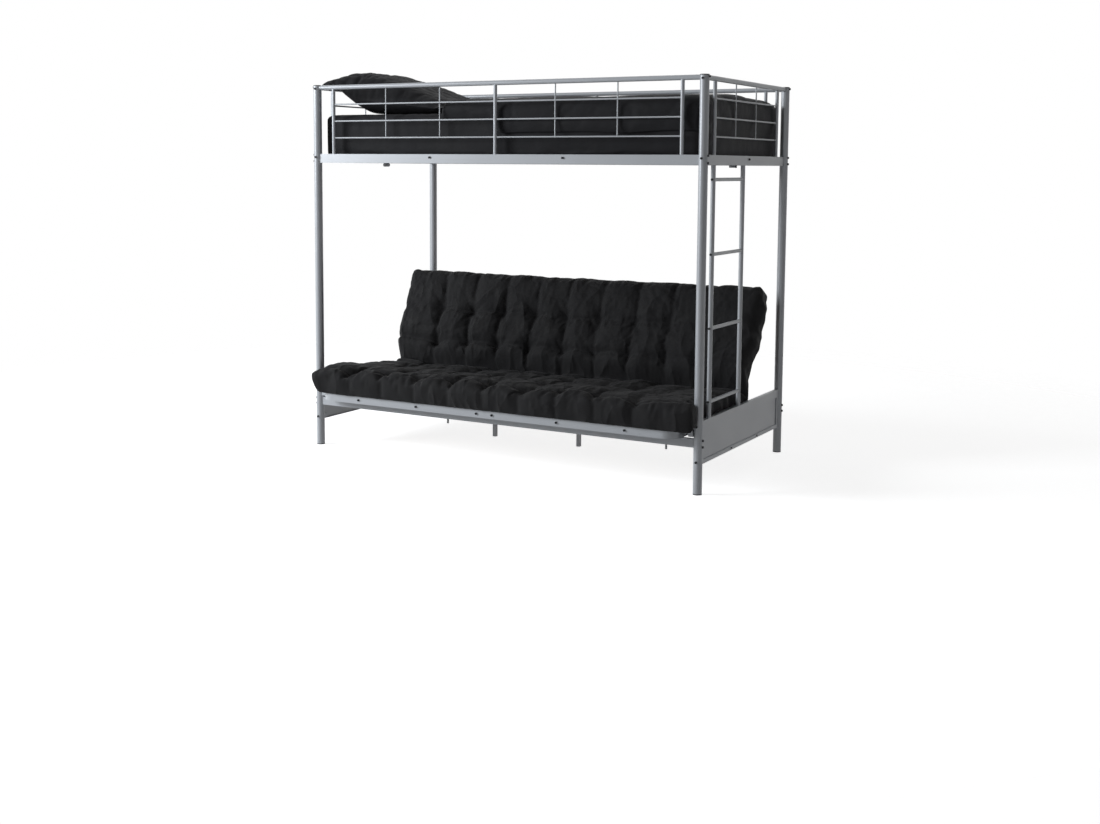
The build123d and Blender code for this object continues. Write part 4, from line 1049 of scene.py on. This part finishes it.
def camera_ray_share(tree, strength):
    """The strength where a surface is seen directly, in a reflection or through glass, else 0."""
    path = tree.nodes.new("ShaderNodeLightPath")
    seen = path.outputs["Is Camera Ray"]
    for ray in ("Is Glossy Ray", "Is Transmission Ray"):
        either = node(tree, "ShaderNodeMath", operation="MAXIMUM")
        tree.links.new(seen, either.inputs[0])
        tree.links.new(path.outputs[ray], either.inputs[1])
        seen = either.outputs[0]
    share = node(tree, "ShaderNodeMath", operation="MULTIPLY")
    share.inputs[1].default_value = strength
    tree.links.new(seen, share.inputs[0])
    return share.outputs[0]


def make_world():
    """Even grey light from all round, and white where the background itself is seen."""
    world = bpy.data.worlds.new("studio")
    bpy.context.scene.world = world
    world.use_nodes = True
    tree = world.node_tree
    tree.nodes.clear()
    seen = camera_ray_share(tree, 1.0)
    light = node(tree, "ShaderNodeBackground", Color=WHITE, Strength=WORLD_LIGHT)
    white = node(tree, "ShaderNodeBackground", Color=WHITE, Strength=WORLD_WHITE)
    mixed = tree.nodes.new("ShaderNodeMixShader")
    output = tree.nodes.new("ShaderNodeOutputWorld")
    tree.links.new(seen, mixed.inputs[0])
    tree.links.new(light.outputs[0], mixed.inputs[1])
    tree.links.new(white.outputs[0], mixed.inputs[2])
    tree.links.new(mixed.outputs[0], output.inputs["Surface"])


def floor_tone(tree):
    """The floor's own tone where it is seen, and a darker one for the light it throws back."""
    pale = node(tree, "ShaderNodeMath", operation="ADD")
    pale.inputs[1].default_value = FLOOR_BOUNCE
    tree.links.new(camera_ray_share(tree, FLOOR_TONE - FLOOR_BOUNCE), pale.inputs[0])
    return pale.outputs[0]


def make_floor():
    """A pale floor that fades into the white background away from the object."""
    corners = [(sx * FLOOR_REACH, sy * FLOOR_REACH, 0) for sx, sy in ((-1, -1), (1, -1), (1, 1), (-1, 1))]
    floor = mesh_object("floor", corners, [(0, 1, 2, 3)])
    material, tree, shader, place = plain_material("floor", 0.0, FLOOR_SPECULAR)
    tree.links.new(floor_tone(tree), shader.inputs["Base Color"])
    shader.inputs["Roughness"].default_value = FLOOR_ROUGHNESS
    gradient = node(tree, "ShaderNodeTexGradient", gradient_type="SPHERICAL")
    tree.links.new(stretched(tree, place, FLOOR_FADE), gradient.inputs["Vector"])
    cover = tree.nodes.new("ShaderNodeMapRange")
    cover.inputs["From Max"].default_value = FLOOR_COVERED
    tree.links.new(gradient.outputs["Fac"], cover.inputs["Value"])
    glow = node(tree, "ShaderNodeEmission", Color=WHITE)
    tree.links.new(camera_ray_share(tree, FLOOR_GLOW), glow.inputs["Strength"])
    lit = tree.nodes.new("ShaderNodeAddShader")
    tree.links.new(shader.outputs[0], lit.inputs[0])
    tree.links.new(glow.outputs[0], lit.inputs[1])
    clear = tree.nodes.new("ShaderNodeBsdfTransparent")
    mixed = tree.nodes.new("ShaderNodeMixShader")
    tree.links.new(cover.outputs["Result"], mixed.inputs[0])
    tree.links.new(clear.outputs[0], mixed.inputs[1])
    tree.links.new(lit.outputs[0], mixed.inputs[2])
    tree.links.new(mixed.outputs[0], tree.nodes["Material Output"].inputs["Surface"])
    floor.data.materials.append(material)


make_camera()
make_world()
make_floor()
for name, lamp in LAMPS.items():
    make_lamp(name, *lamp)
bpy.context.scene.view_settings.view_transform = "Standard"
